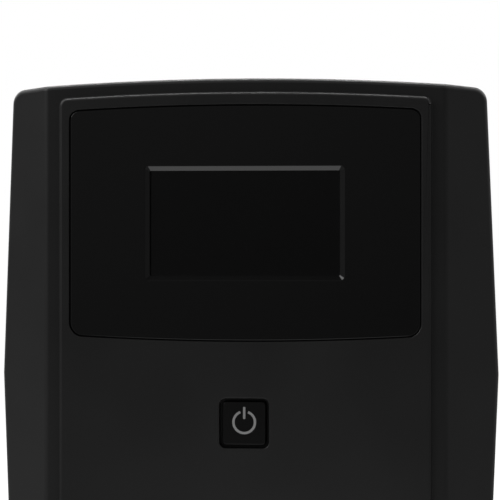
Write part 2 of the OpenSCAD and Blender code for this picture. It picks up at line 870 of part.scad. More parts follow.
module battery_pads() {
    color("dimgray")
        for (y = battery_y) for (x = [0.3, 0.85])
            translate([battery_x + battery_w * x - 8, y + 4, z_floor]) cube([16, battery_d - 8, pad_t]);
}

module battery_bracket() {
    x0 = battery_x + 2;
    x1 = battery_x + battery_w - 2;
    lip_z = battery_z + battery_h + 0.3;
    color("silver")
        difference() {
            union() {
                block([x0, bracket_y, z_floor], [x1, bracket_y + sheet_t, lip_z + sheet_t]);
                block([x0, bracket_y, z_floor], [x1, bracket_y + sheet_t + bracket_foot, z_floor + sheet_t]);
                block([x0, bracket_y - 14, lip_z], [x1, bracket_y + sheet_t, lip_z + sheet_t]);
            }
            for (x = bracket_screw_x)
                translate([x, bracket_screw_y, z_floor - 1]) cylinder(h = sheet_t + 2, r = m3_r + screw_gap);
        }
}

module battery_bracket_screws() {
    color("silver")
        for (x = bracket_screw_x)
            translate([x, bracket_screw_y, z_case]) rotate([180, 0, 0]) screw(m3_r, 2 * sheet_t + 3);
}

module boot(y, z) {
    rod_x(y, z, tab_x + tab_l, lead_x + 0.5, boot_r);
}

module battery_link_lead() {
    color("dodgerblue") {
        sweep(bent(link_path, lead_bend, 6), lead_r, [0, 0, 1]);
        boot(tab_y[0], tab_z[1]);
        boot(tab_y[1], tab_z[1]);
    }
}

module battery_positive_lead() {
    color("crimson") {
        sweep(bent(supply_path(tab_y[1], positive_z), lead_bend, 6), lead_r, [0, 0, 1]);
        boot(tab_y[1], tab_z[0]);
    }
}

module battery_negative_lead() {
    color("#101010") {
        sweep(bent(supply_path(tab_y[0], negative_z), lead_bend, 6), lead_r, [0, 0, 1]);
        boot(tab_y[0], tab_z[0]);
    }
}

// ---- Transformer ----

// Two windows leave a middle leg between them and a yoke above and below
module transformer_core() {
    color("#6c6f73")
        difference() {
            block([core_x - core_stack / 2, core_y, core_z],
                [core_x + core_stack / 2, core_y + core_d, core_z + core_h]);
            for (s = [-1, 1])
                translate([core_x, core_mid + s * (core_leg / 2 + core_yoke / 2), core_z + core_h / 2])
                    cube([core_stack + 2, core_yoke, core_h - 2 * core_yoke], center = true);
        }
}

module around_leg(x, y, z0, z1) {
    translate([core_x, core_mid, z0]) linear_extrude(z1 - z0)
        difference() {
            square([2 * x, 2 * y], center = true);
            square([core_stack + window_clear, core_leg + window_clear], center = true);
        }
}

coil_low = core_z + core_yoke + window_clear / 2;
coil_high = core_z + core_h - core_yoke - window_clear / 2;
bobbin_x = core_stack / 2 + window_clear / 2 + bobbin_t;
bobbin_y = core_leg / 2 + window_clear / 2 + bobbin_t;
coil_y = core_leg / 2 + core_yoke - window_clear;

module transformer_bobbin() {
    middle = (coil_low + coil_high) / 2;
    color("ivory") {
        around_leg(bobbin_x, bobbin_y, coil_low, coil_high);
        for (z = [coil_low, middle - bobbin_t / 2, coil_high - bobbin_t])
            around_leg(coil_x, coil_y, z, z + bobbin_t);
    }
}

// The primary and the secondary lie one above the other, between the bobbin's flanges
module transformer_windings() {
    middle = (coil_low + coil_high) / 2;
    lower = [coil_low + bobbin_t, middle - bobbin_t / 2];
    upper = [middle + bobbin_t / 2, coil_high - bobbin_t];
    color("sienna")
        for (z = [lower, upper])
            translate([core_x, core_mid, z[0]]) linear_extrude(z[1] - z[0])
                difference() {
                    pad(2 * coil_x - 2, 2 * coil_y - 1, 5);
                    square([2 * bobbin_x, 2 * bobbin_y], center = true);
                }
}

module transformer_frame() {
    x0 = core_x - core_stack / 2;
    x1 = core_x + core_stack / 2;
    color("#8a8d90")
        difference() {
            union() {
                block([x0, core_y - base_over, z_floor], [x1, core_y + core_d + base_over, core_z]);
                for (y = [core_y - base_t, core_y + core_d])
                    block([x0, y, z_floor], [x1, y + base_t, core_z + core_h * 0.6]);
            }
            for (x = bolt_x) for (y = bolt_y)
                translate([x, y, z_floor - 1]) cylinder(h = base_t + 2, r = m5_r + screw_gap);
        }
}

// Each bolt has its head under the case and its nut on the frame
module transformer_bolts() {
    color("silver")
        for (x = bolt_x) for (y = bolt_y) translate([x, y, 0]) {
            translate([0, 0, z_case - 3]) cylinder(h = 3, r = 1.5 * m5_r);
            translate([0, 0, z_case - 1]) cylinder(h = sheet_t + base_t + 6, r = m5_r);
            translate([0, 0, core_z]) cylinder(h = 3.5, r = 1.3 * m5_r, $fn = 6);
        }
}

// ---- Main board ----

module main_board() {
    color("#1f5c39")
        difference() {
            block([board_x, board_y, board_z], [board_x + pcb_t, board_y1, board_z + board_h]);
            for (p = standoff_at) rod_x(p[0], p[1], board_x - 1, board_x + pcb_t + 1, m3_r + screw_gap);
        }
}

module board_standoffs() {
    x0 = board_x + pcb_t;
    color("goldenrod")
        for (p = standoff_at) difference() {
            union() {
                translate([x0, p[0], p[1]]) rotate([0, 90, 0]) cylinder(h = standoff_l, r = 3, $fn = 6);
                rod_x(p[0], p[1], x0, x_in, m4_r);
            }
            rod_x(p[0], p[1], x0 - 1, x0 + standoff_l - 1.5, m3_r + screw_gap);
        }
}

module board_screws() {
    color("silver")
        for (p = standoff_at) translate([board_x, p[0], p[1]]) rotate([0, -90, 0]) screw(m3_r, pcb_t + 3);
}

// The fins stand on a flat base that runs from front to back
module heat_sinks() {
    pitch = (sink_size[0] - sink_fin) / (sink_fins - 1);
    color("silver")
        for (z = sink_z) {
            block([board_x - sink_size[0], sink_y, z], [board_x, sink_y + sink_size[1], z + sink_base]);
            for (i = [0:sink_fins - 1])
                block([board_x - sink_size[0] + i * pitch, sink_y, z],
                    [board_x - sink_size[0] + i * pitch + sink_fin, sink_y + sink_size[1], z + sink_size[2]]);
        }
}

module power_transistors() {
    pitch = (sink_size[1] - transistor_size[1]) / (transistor_n - 1);
    lead = 0.8;
    color("#222222")
        for (z = sink_z) for (i = [0:transistor_n - 1]) {
            y = sink_y + i * pitch;
            block([board_x - 4 - transistor_size[0], y, z - transistor_size[2]],
                [board_x - 4, y + transistor_size[1], z]);
            for (k = [-1, 0, 1])
                translate([board_x - 4.1, y + transistor_size[1] / 2 + k * 4 - lead / 2, z - 3])
                    cube([4.1, lead, lead]);
        }
}

module relays() {
    color("#2c4f7c")
        for (i = [0:relay_n - 1])
            translate([board_x - relay_size[0], board_y + 38 + i * relay_pitch, board_z + 8])
                cube(relay_size);
}

module capacitors() {
    color("#30343c")
        for (z = capacitor_z) {
            rod_x(board_y + 14, board_z + z, board_x - capacitor_l, board_x - 1, capacitor_r);
            rod_x(board_y + 14, board_z + z, board_x - 1.5, board_x, capacitor_r - 1);
        }
}

module board_fuse() {
    color("gainsboro")
        difference() {
            translate([board_x - 8, board_y1 - 22, board_z + 8]) cube([8, 10, 26]);
            translate([board_x - 9, board_y1 - 20, board_z + 11]) cube([5, 6, 20]);
        }
}

module buzzer() {
    color("#161616")
        difference() {
            rod_x(board_y1 - 17, board_z + 50, board_x - 9, board_x, 6);
            rod_x(board_y1 - 17, board_z + 50, board_x - 10, board_x - 6, 1);
        }
}

module terminal_block() {
    color("seagreen")
        block([board_x - block_size[0], block_y, board_z + 2],
            [board_x, block_y + block_size[1], board_z + 2 + block_size[2]]);
}

module ribbon_header() {
    color("white")
        block([board_x - header_size[0], board_y, z_mid - header_size[2] / 2],
            [board_x, board_y + header_size[1], z_mid + header_size[2] / 2]);
}

// ---- Fan ----

module fan_frame() {
    color("#1e1e1e")
        difference() {
            union() {
                slab_y(fan_y, y_in_back) translate([fan_x, fan_z]) difference() {
                    pad(fan_w, fan_w, 3);
                    circle(fan_bore);
                }
                slab_y(fan_y, fan_y + fan_strut) translate([fan_x, fan_z]) {
                    circle(fan_hub);
                    for (a = [45, 135]) rotate(a) square([2 * fan_bore + 1, 3], center = true);
                }
            }
            for (x = [-1, 1]) for (z = [-1, 1])
                rod_y(fan_x + x * fan_pitch / 2, fan_z + z * fan_pitch / 2, fan_y - 1, y_back,
                    m4_r + screw_gap);
            rod_y(fan_x, fan_z, fan_y + 0.5, fan_y + fan_strut + 1, fan_shaft + run_gap);
        }
}

module fan_rotor() {
    y0 = fan_y + fan_strut + 0.5;
    rotor_t = fan_t - fan_strut - 0.5 - fan_gap;
    blade_r = fan_bore - fan_gap;
    color("#2a2a2a") {
        rod_y(fan_x, fan_z, y0, y0 + rotor_t, fan_hub);
        rod_y(fan_x, fan_z, fan_y + 1, y0 + 1, fan_shaft);
        intersection() {
            rod_y(fan_x, fan_z, y0, y0 + rotor_t, blade_r);
            for (i = [0:fan_blades - 1])
                translate([fan_x, y0 + rotor_t / 2, fan_z]) rotate([0, 360 * i / fan_blades, 0])
                    translate([fan_hub - 1, 0, 0]) rotate([38, 0, 0])
                        translate([0, -0.6, -rotor_t]) cube([blade_r, 1.2, 2 * rotor_t]);
        }
    }
}

module fan_screws() {
    color("silver")
        for (x = [-1, 1]) for (z = [-1, 1])
            translate([fan_x + x * fan_pitch / 2, y_back, fan_z + z * fan_pitch / 2])
                rotate([-90, 0, 0]) screw(m4_r, 10);
}

// ---- Rear fittings ----

// The body of a mains fitting: a flange outside the panel and a box inside it
module socket_body(depth) {
    slab_y(y_back, y_back + socket_flange) pad(socket_w + 2 * socket_rim, socket_h + 2 * socket_rim, 1.5);
    slab_y(y_back - depth, y_back + 0.5) connector(socket_w, socket_h);
}

module ac_inlet() {
    mouth = y_back + socket_flange;
    color("#141414")
        translate([column_x, 0, inlet_z]) difference() {
            socket_body(cavity_d + 1);
            slab_y(mouth - cavity_d, mouth + 1) connector(cavity_w, cavity_h);
            for (p = [-1, 0, 1])
                slab_y(y_back - cavity_d - 2, mouth)
                    translate([p * pin_pitch, p == 0 ? pin_shift : -pin_shift])
                        square([pin_size[0], pin_size[2]], center = true);
        }
}

module inlet_pins() {
    mouth = y_back + socket_flange;
    color("silver")
        for (p = [-1, 0, 1])
            translate([column_x, 0, inlet_z])
                slab_y(y_back - cavity_d - 6, mouth - cavity_d + pin_size[1])
                    translate([p * pin_pitch, p == 0 ? pin_shift : -pin_shift])
                        square([pin_size[0], pin_size[2]], center = true);
}

// An island with three contact slots stands in a moat that takes the lead's collar
module outlet(i, k) {
    mouth = y_back + socket_flange;
    island_w = cavity_w - 2 * island_gap;
    island_h = cavity_h - 2 * island_gap;
    color("#141414")
        translate([outlet_x + i * outlet_pitch[0], 0, outlet_z + k * outlet_pitch[1]]) difference() {
            socket_body(cavity_d + 3);
            slab_y(mouth - cavity_d + 3, mouth + 1) difference() {
                connector(cavity_w, cavity_h);
                connector(island_w, island_h, 3.4);
            }
            for (p = [-1, 0, 1])
                slab_y(mouth - cavity_d + 1, mouth + 1)
                    translate([p * pin_pitch, p == 0 ? pin_shift : -pin_shift])
                        square([pin_size[0] + 0.6, pin_size[2] + 0.6], center = true);
        }
}

module outlet_1() {
    outlet(0, 0);
}

module outlet_2() {
    outlet(1, 0);
}

module outlet_3() {
    outlet(0, 1);
}

module outlet_4() {
    outlet(1, 1);
}

module breaker_body() {
    color("#1a1a1a")
        difference() {
            union() {
                translate([column_x, 0, breaker_z]) slab_y(y_in_back - 24, y_in_back) pad(15, 18, 1);
                rod_y(column_x, breaker_z, y_in_back - 1, y_back + 4, breaker_neck);
                translate([column_x, y_back, breaker_z]) rotate([-90, 0, 0])
                    cylinder(h = 2.5, r = 9, $fn = 6);
            }
            rod_y(column_x, breaker_z, y_back + rear_reach - breaker_l - 1, y_back + 5, breaker_r + run_gap);
        }
}

module breaker_button() {
    tip = y_back + rear_reach;
    color("white") {
        rod_y(column_x, breaker_z, tip - breaker_l, tip - 0.5, breaker_r);
        rod_y(column_x, breaker_z, tip - 1, tip, breaker_r - 0.4);
    }
}

// Two network sockets side by side, each with a notch for the plug's latch
module data_ports() {
    mouth = y_back + 1;
    color("#1b1b1b")
        translate([column_x, 0, data_z]) difference() {
            union() {
                slab_y(y_back, mouth) pad(2 * port_w + 3, port_h + 3, 1);
                slab_y(mouth - port_hole[2] - 4, mouth - 0.5) square([2 * port_w, port_h], center = true);
            }
            for (s = [-1, 1]) slab_y(mouth - port_hole[2], mouth + 1) translate([s * port_w / 2, 0.8]) {
                square([port_hole[0], port_hole[1]], center = true);
                translate([0, -port_hole[1] / 2 - 0.9]) square([6, 2], center = true);
            }
        }
}

module usb_port() {
    mouth = y_back + 0.6;
    color("gainsboro")
        translate([column_x, 0, usb_z]) difference() {
            union() {
                slab_y(y_back, mouth) pad(usb_size[0] + 3, usb_size[1] + 3, 1);
                slab_y(mouth - usb_size[2], mouth) square([usb_size[0], usb_size[1]], center = true);
            }
            slab_y(mouth - 9, mouth + 1) difference() {
                square([8.5, 7.8], center = true);
                square([5.6, 3.2], center = true);
            }
        }
}

front_bezel();
display_panel();
display_lens();
lcd_module();
lcd_holder();
display_board();
display_board_screws();
power_button();
power_symbol();
button_spring();
power_switch();
switch_plunger();
bezel_screws();
ribbon_cable();
chassis_tray();
rear_panel();
top_cover();
cover_screws();
rubber_feet();
foot_screws();
rear_panel_screws();
battery_front();
battery_rear();
battery_terminals();
battery_bracket();
battery_bracket_screws();
battery_pads();
battery_link_lead();
battery_positive_lead();
battery_negative_lead();
transformer_core();
transformer_bobbin();
transformer_windings();
transformer_frame();
transformer_bolts();
main_board();
board_standoffs();
board_screws();
heat_sinks();
power_transistors();
relays();
capacitors();
board_fuse();
buzzer();
terminal_block();
ribbon_header();
fan_frame();
fan_rotor();
fan_screws();
ac_inlet();
inlet_pins();
outlet_1();
outlet_2();
outlet_3();
outlet_4();
breaker_body();
breaker_button();
data_ports();
usb_port();
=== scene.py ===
"""The looks of a tower uninterruptible power supply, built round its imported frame.

Shapes are worked out in millimetres and made in metres. The front faces -Y, +X is to the right and
+Z is up. Outlines of the front are drawn as (x, z) about the middle of the bezel.
"""

import math

import bmesh
import bpy
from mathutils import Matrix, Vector


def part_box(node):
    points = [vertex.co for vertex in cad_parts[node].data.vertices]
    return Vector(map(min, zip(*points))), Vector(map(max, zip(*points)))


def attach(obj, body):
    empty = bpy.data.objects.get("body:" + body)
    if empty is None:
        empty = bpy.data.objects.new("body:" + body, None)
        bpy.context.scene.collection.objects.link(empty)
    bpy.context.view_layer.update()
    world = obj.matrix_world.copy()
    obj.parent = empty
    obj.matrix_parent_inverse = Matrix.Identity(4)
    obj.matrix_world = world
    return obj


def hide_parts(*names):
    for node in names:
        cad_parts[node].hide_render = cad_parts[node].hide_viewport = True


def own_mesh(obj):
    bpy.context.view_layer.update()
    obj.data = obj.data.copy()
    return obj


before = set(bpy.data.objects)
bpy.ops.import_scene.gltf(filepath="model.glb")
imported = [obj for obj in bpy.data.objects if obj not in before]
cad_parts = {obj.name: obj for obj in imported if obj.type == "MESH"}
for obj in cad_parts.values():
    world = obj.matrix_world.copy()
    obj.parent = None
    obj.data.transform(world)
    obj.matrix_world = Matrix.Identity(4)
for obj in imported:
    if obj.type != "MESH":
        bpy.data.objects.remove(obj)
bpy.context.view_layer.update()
MM = 0.001


# ---- Places and sizes, from the frame ----


def box_mm(node):
    """A node's lowest and highest corners, in millimetres."""
    low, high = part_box(node)
    return Vector(low) / MM, Vector(high) / MM


BEZEL_LOW, BEZEL_HIGH = box_mm("front_bezel")
PANEL_LOW, PANEL_HIGH = box_mm("display_panel")
LENS_LOW, LENS_HIGH = box_mm("display_lens")
LCD_LOW = box_mm("lcd_module")[0]
BUTTON_LOW, BUTTON_HIGH = box_mm("power_button")
SYMBOL_LOW, SYMBOL_HIGH = box_mm("power_symbol")
BOARD_LOW, BOARD_HIGH = box_mm("display_board")

Z_MID = (BEZEL_LOW.z + BEZEL_HIGH.z) / 2
BEZEL_HALF_W = BEZEL_HIGH.x
BEZEL_HALF_H = (BEZEL_HIGH.z - BEZEL_LOW.z) / 2
Y_FACE = BEZEL_LOW.y
Y_CASE = BEZEL_HIGH.y

# Sizes that a node's box doesn't give, in millimetres.
# The bezel's outline: how much wider it is on each side at its middle than at its top, the radius of
# its crowned top, its corners, and how much less it reaches up and down in front than at the back
WAIST = 3.6
CROWN_R = 800
BEZEL_CORNER = 4
DRAFT = 0.8
# Its flat front and the cheeks that slope back from it, with the radius of the crease between them
FLAT_HALF = 55.3
CHEEK_D = 14
CREASE_R = 2.4
CREASE_STEPS = 8
# The raised frame
FRAME_RISE = 1.8
FRAME_HALF = 51.2
FRAME_STEP = 4.7
FRAME_CORNER = 2.2
# The glossy panel and its pocket
PANEL_GAP = 0.35
PANEL_TOP_R = 2.5
PANEL_LOW_R = 3.5
# The lens behind it, its seat, and the window with sloping edges in front of it
LENS_RIM = 3
LENS_CORNER = 1.3
LENS_GAP = 0.2
LENS_BACK_OFF = 0.02
LCD_GAP = 0.1
WINDOW_TRIM = 0.5
WINDOW_EDGE = 1.3
WINDOW_EDGE_D = 0.9
WINDOW_FRONT_R = 1.2
WINDOW_BACK_R = 0.4
WINDOW_HOLE_R = 0.5
# The push-button, the recess round it and the guide behind that
BUTTON_GROW = 0.3
BUTTON_CORNER = 1
BUTTON_COLLAR = 3.5
COLLAR_T = 1.2
COLLAR_CORNER = 1.5
COLLAR_GAP = 0.05
COLLAR_ROOT = 0.2
STEM_W = 4
RECESS_GAP = 0.95
RECESS_D = 3.4
RECESS_CORNER = 1.8
GUIDE_GAP = 0.3
# Its symbol: the line's width as a share of the symbol's, half the ring's opening in lines, where the
# bar starts as a share of the ring's radius, and the bar's corners in lines
SYMBOL_LINE = 0.1
SYMBOL_OPENING = 1.6
SYMBOL_BAR_LOW = 0.3
SYMBOL_BAR_CORNER = 0.2
SYMBOL_STEPS = 40
# Its spring
SPRING_WIRE_R = 0.4
SPRING_TURNS = 4
SPRING_STEPS = 48
SPRING_SIDES = 12
# The bezel's wall, and the lip and opening at its back
SHELL_T = 2.5
LIP_T = 3
LIP_W = 6.5
SIDE_STEP = 4.5
MOUTH_CORNER = 3
# Air slots
INTAKE_N = 5
INTAKE_L = 60
INTAKE_W = 3
INTAKE_PITCH = 6.7
INTAKE_TOP = 45
# Screw bosses of the case and of the display board
BOSS_R = 4
BOSS_X = 52
BOSS_Z = 60
BOSS_BORE_R = 1.6
BOSS_BORE_D = 12
DISPLAY_BOSS_R = 3
DISPLAY_BOSS_IN = 4
DISPLAY_BORE_R = 1.35
DISPLAY_BORE_D = 7
# How far a cut reaches past what it cuts, and how deep a joined solid sinks into the other
OVER = 1
ROOT = 0.5
# How near a point lies to a plane that it is on, and what keeps apart two that would fall together
NEAR = 0.05
HAIR = 0.01

# Radii of the edges: the bezel's outline in front and behind, the frame's rim and foot, the panel and
# its pocket, the air slots, the button and its recess, the window and the lens
OUTLINE_R = 1.2
BACK_R = 0.5
FRAME_R = 0.75
FRAME_FOOT_R = 0.35
POCKET_R = 0.22
SLOT_R = 0.4
RECESS_R = 0.28
WINDOW_R = 0.1
LENS_R = 0.1
# Where the bezel's outer edges lie, in from its narrowest width and from its height: at the back,
# along the depth, and in front, where the draft and the crown bring them in most
RIM_SIDE = 3
RIM_BACK_TOP = 3.5
RIM_DEPTH_TOP = 3.2
RIM_FRONT_SIDE = 1.5
RIM_FRONT_TOP = 4.4
# How far round the panel, and round the slots and the window, their edges are looked for
ROUND_PANEL = 0.6
ROUND_OPENING = 2

Y_FLAT = Y_FACE + FRAME_RISE
Y_POCKET = PANEL_HIGH.y
Y_LENS = LENS_HIGH.y
Y_SKIN = LCD_LOW.y - LCD_GAP
CHEEK_SLOPE = CHEEK_D / (BEZEL_HALF_W - FLAT_HALF)
LENS_W = LENS_HIGH.x - LENS_LOW.x
LENS_H = LENS_HIGH.z - LENS_LOW.z
WINDOW_W = LENS_W - 2 * LENS_RIM - WINDOW_TRIM
WINDOW_H = LENS_H - 2 * LENS_RIM
WINDOW_Z = (LENS_LOW.z + LENS_HIGH.z) / 2 - Z_MID
COLLAR_W = BUTTON_HIGH.x - BUTTON_LOW.x
BUTTON_W = COLLAR_W - BUTTON_COLLAR + BUTTON_GROW
BUTTON_Z = (BUTTON_LOW.z + BUTTON_HIGH.z) / 2 - Z_MID


# ---- Outlines ----

CORNER_STEPS = 12
CROWN_STEPS = 48


def upper_edge(half, slope, top, crown, corner):
    """The crowned top of an outline, from its right-hand side round to its left."""
    lean = math.atan(slope)
    middle = top - crown
    # The corner's centre lies the corner's radius inside both the leaning side and the crown's circle
    a = half - corner / math.cos(lean)
    b = a * slope + middle
    c = 1 + slope * slope
    z = (b + math.sqrt(b * b - c * (a * a + middle * middle - (crown - corner) ** 2))) / c
    x = a - slope * z
    turn = math.atan2(z - middle, x)
    right = []
    for i in range(CORNER_STEPS + 1):
        t = lean + (turn - lean) * i / CORNER_STEPS
        right.append((x + corner * math.cos(t), z + corner * math.sin(t)))
    over = []
    for i in range(1, CROWN_STEPS):
        t = turn + (math.pi - 2 * turn) * i / CROWN_STEPS
        over.append((crown * math.cos(t), middle + crown * math.sin(t)))
    left = [(-px, pz) for px, pz in reversed(right)]
    return right + over + left


def crowned(half, slope, top, low, crown, top_corner, low_corner):
    """A closed outline, crowned above and below and widest at its middle."""
    lower = [(-x, -z) for x, z in upper_edge(half, slope, -low, crown, low_corner)]
    upper = upper_edge(half, slope, top, crown, top_corner)
    if not slope:
        return upper + lower
    return [(half, 0)] + upper + [(-half, 0)] + lower


def bezel_outline(inset=0, trim=0):
    """The bezel's outline, brought in all round, and trimmed above and below."""
    corner = max(BEZEL_CORNER - inset, 1)
    half_h = BEZEL_HALF_H - inset - trim
    slope = WAIST / BEZEL_HALF_H
    return crowned(BEZEL_HALF_W - inset, slope, half_h, -half_h, CROWN_R - inset, corner, corner)


def frame_outline():
    """The raised frame's outline, with upright sides."""
    half_h = BEZEL_HALF_H - FRAME_STEP
    crown = CROWN_R - FRAME_STEP
    return crowned(FRAME_HALF, 0, half_h, -half_h, crown, FRAME_CORNER, FRAME_CORNER)


def panel_outline(grow=0):
    """The glossy panel's outline, grown all round for its pocket."""
    top = PANEL_HIGH.z - Z_MID + grow
    low = PANEL_LOW.z - Z_MID - grow
    crown = CROWN_R - BEZEL_HALF_H + top - grow
    return crowned(PANEL_HIGH.x + grow, 0, top, low, crown, PANEL_TOP_R + grow, PANEL_LOW_R + grow)


def rounded(w, h, r, z, steps=8):
    """A rectangle with round corners about (0, z), anticlockwise."""
    points = []
    for k, (sx, sz) in enumerate(((1, 1), (-1, 1), (-1, -1), (1, -1))):
        for i in range(steps + 1):
            t = math.pi / 2 * (k + i / steps)
            points.append((
                sx * (w / 2 - r) + r * math.cos(t),
                z + sz * (h / 2 - r) + r * math.sin(t),
            ))
    return points


# ---- Mesh tools ----

# Points this near in metres are one, and faces this near in angle are one
SAME_POINT = 1e-6
SAME_PLANE = math.radians(0.1)
# The angles from which an edge is rounded, and drawn sharp if it isn't
ROUNDED_FROM = math.radians(15)
SHARP_FROM = math.radians(30)


def link(name, data):
    """Makes an object of a mesh, lamp or camera, and puts it in the scene."""
    obj = bpy.data.objects.new(name, data)
    bpy.context.scene.collection.objects.link(obj)
    return obj


def from_bmesh(name, bm):
    """Makes an object in metres from a bmesh in millimetres."""
    bmesh.ops.scale(bm, vec=(MM, MM, MM), verts=bm.verts)
    mesh = bpy.data.meshes.new(name)
    bm.to_mesh(mesh)
    bm.free()
    return link(name, mesh)


def loft(name, rings):
    """A solid through rings of equal length, each of (x, y, z) points, anticlockwise from the front."""
    bm = bmesh.new()
    made = [[bm.verts.new(p) for p in ring] for ring in rings]
    count = len(rings[0])
    for near, far in zip(made, made[1:]):
        for i in range(count):
            k = (i + 1) % count
            bm.faces.new((near[i], far[i], far[k], near[k]))
    bm.faces.new(made[0])
    bm.faces.new(list(reversed(made[-1])))
    return from_bmesh(name, bm)


def prism(name, outline, y0, y1, dz=Z_MID):
    """A plate between two depths, with its outline raised by dz."""
    return loft(name, [[(x, y, z + dz) for x, z in outline] for y in (y0, y1)])


def rod(name, x, z, r, y0, y1, steps=32):
    """A round bar from front to back."""
    turns = [2 * math.pi * i / steps for i in range(steps)]
    outline = [(x + r * math.cos(t), z + r * math.sin(t)) for t in turns]
    return prism(name, outline, y0, y1, 0)


def tall_wedge(side, plan):
    """A solid taller than the bezel, from its plan in (x, y), mirrored where side is -1."""
    bm = bmesh.new()
    low = [bm.verts.new((side * x, y, BEZEL_LOW.z - 2 * OVER)) for x, y in plan]
    high = [bm.verts.new((side * x, y, BEZEL_HIGH.z + 2 * OVER)) for x, y in plan]
    bm.faces.new(low)
    bm.faces.new(high)
    for i in range(len(plan)):
        k = (i + 1) % len(plan)
        bm.faces.new((low[i], low[k], high[k], high[i]))
    bmesh.ops.recalc_face_normals(bm, faces=bm.faces)
    return from_bmesh("wedge", bm)


def bake_modifiers(obj):
    """Puts the mesh that the modifiers make in place of the object's own."""
    graph = bpy.context.evaluated_depsgraph_get()
    mesh = bpy.data.meshes.new_from_object(obj.evaluated_get(graph), depsgraph=graph)
    obj.modifiers.clear()
    obj.data = mesh


def carve(obj, operation, *tools):
    """Adds or takes away other solids, and deletes them."""
    for tool in tools:
        cut = obj.modifiers.new("carve", "BOOLEAN")
        cut.operation = operation
        cut.solver = "EXACT"
        cut.object = tool
    bake_modifiers(obj)
    for tool in tools:
        bpy.data.objects.remove(tool)


def bevel_edges(obj, width, segments, limit):
    """Rounds edges by a width in millimetres, as a modifier."""
    bevel = obj.modifiers.new("soften", "BEVEL")
    bevel.limit_method = limit
    bevel.width = width * MM
    bevel.segments = segments
    bevel.use_clamp_overlap = False
    return bevel


def level_normals(obj, keep_sharp):
    """Keeps flat faces flat beside their rounded edges, as a modifier."""
    level = obj.modifiers.new("level", "WEIGHTED_NORMAL")
    level.mode = "FACE_AREA_WITH_ANGLE"
    level.weight = 100
    level.keep_sharp = keep_sharp


def smooth_faces(mesh):
    for face in mesh.polygons:
        face.use_smooth = True


def soften(obj, radius, segments=4):
    """Rounds the sharp edges: radius(middle) gives an edge's radius from its middle, in millimetres."""
    bm = bmesh.new()
    bm.from_mesh(obj.data)
    bmesh.ops.remove_doubles(bm, verts=bm.verts, dist=SAME_POINT)
    bmesh.ops.dissolve_limit(
        bm, angle_limit=SAME_PLANE, use_dissolve_boundaries=False, verts=bm.verts, edges=bm.edges,
    )
    layer = bm.edges.layers.float.new("bevel_weight_edge")
    wanted = {}
    for edge in bm.edges:
        if len(edge.link_faces) == 2 and edge.calc_face_angle(0) > ROUNDED_FROM:
            size = radius((edge.verts[0].co + edge.verts[1].co) / 2 / MM)
            if size:
                wanted[edge] = size
    widest = max(wanted.values())
    for edge, size in wanted.items():
        edge[layer] = size / widest
    bm.to_mesh(obj.data)
    bm.free()
    smooth_faces(obj.data)
    obj.data.set_sharp_from_angle(angle=SHARP_FROM)
    bevel_edges(obj, widest, segments, "WEIGHT")
    level_normals(obj, True)
    bake_modifiers(obj)


# ---- Materials ----

# Nearly all of a noise lies between these
NOISE_LOW = 0.3
NOISE_HIGH = 0.7


def material(name, colour, rough, metallic=0.0, others=None):
    """A Principled material with the values that are the same all over it, others by socket."""
    made = bpy.data.materials.new(name)
    made.use_nodes = True
    principled = made.node_tree.nodes["Principled BSDF"]
    principled.inputs["Base Color"].default_value = (*colour, 1)
    principled.inputs["Roughness"].default_value = rough
    principled.inputs["Metallic"].default_value = metallic
    for socket, value in (others or {}).items():
        principled.inputs[socket].default_value = value
    return made


def noise(made, scale, detail, stretch=(1, 1, 1)):
    """A noise texture in the object's own metres, as a node."""
    nodes, links = made.node_tree.nodes, made.node_tree.links
    place = nodes.new("ShaderNodeTexCoord")
    mapping = nodes.new("ShaderNodeMapping")
    mapping.inputs["Scale"].default_value = stretch
    texture = nodes.new("ShaderNodeTexNoise")
    texture.inputs["Scale"].default_value = scale
    texture.inputs["Detail"].default_value = detail
    links.new(place.outputs["Object"], mapping.inputs["Vector"])
    links.new(mapping.outputs["Vector"], texture.inputs["Vector"])
    return texture


def spread(made, source, low, high, socket):
    """Drives a socket of the shader between two values with a texture."""
    nodes, links = made.node_tree.nodes, made.node_tree.links
    ranged = nodes.new("ShaderNodeMapRange")
    ranged.inputs["From Min"].default_value = NOISE_LOW
    ranged.inputs["From Max"].default_value = NOISE_HIGH
    ranged.inputs["To Min"].default_value = low
    ranged.inputs["To Max"].default_value = high
    links.new(source.outputs["Fac"], ranged.inputs["Value"])
    links.new(ranged.outputs["Result"], nodes["Principled BSDF"].inputs[socket])


def tint(made, source, dark, light):
    """Varies the colour between two tones with a texture."""
    nodes, links = made.node_tree.nodes, made.node_tree.links
    ramp = nodes.new("ShaderNodeValToRGB")
    ramp.color_ramp.elements[0].position = NOISE_LOW
    ramp.color_ramp.elements[1].position = NOISE_HIGH
    ramp.color_ramp.elements[0].color = (*dark, 1)
    ramp.color_ramp.elements[1].color = (*light, 1)
    links.new(source.outputs["Fac"], ramp.inputs["Fac"])
    links.new(ramp.outputs["Color"], nodes["Principled BSDF"].inputs["Base Color"])


def bump(made, source, height):
    """Raises the surface by a texture, by up to a height in millimetres."""
    nodes, links = made.node_tree.nodes, made.node_tree.links
    bumped = nodes.new("ShaderNodeBump")
    bumped.inputs["Strength"].default_value = 1
    bumped.inputs["Distance"].default_value = height * MM
    links.new(source.outputs["Fac"], bumped.inputs["Height"])
    links.new(bumped.outputs["Normal"], nodes["Principled BSDF"].inputs["Normal"])


def scaled(colour, factor):
    return tuple(min(c * factor, 1) for c in colour)


def moulded(name, colour, rough, grain=2600, height=0.012, vary=0.12, others=None):
    """Injection-moulded plastic: fine grain, and broad faint changes of tone and gloss."""
    made = material(name, colour, rough, 0.0, others)
    broad = noise(made, 45, 2)
    spread(made, broad, rough * (1 - vary / 2), rough * (1 + vary / 2), "Roughness")
    tint(made, broad, scaled(colour, 1 - vary), scaled(colour, 1 + vary))
    bump(made, noise(made, grain, 2), height)
    return made


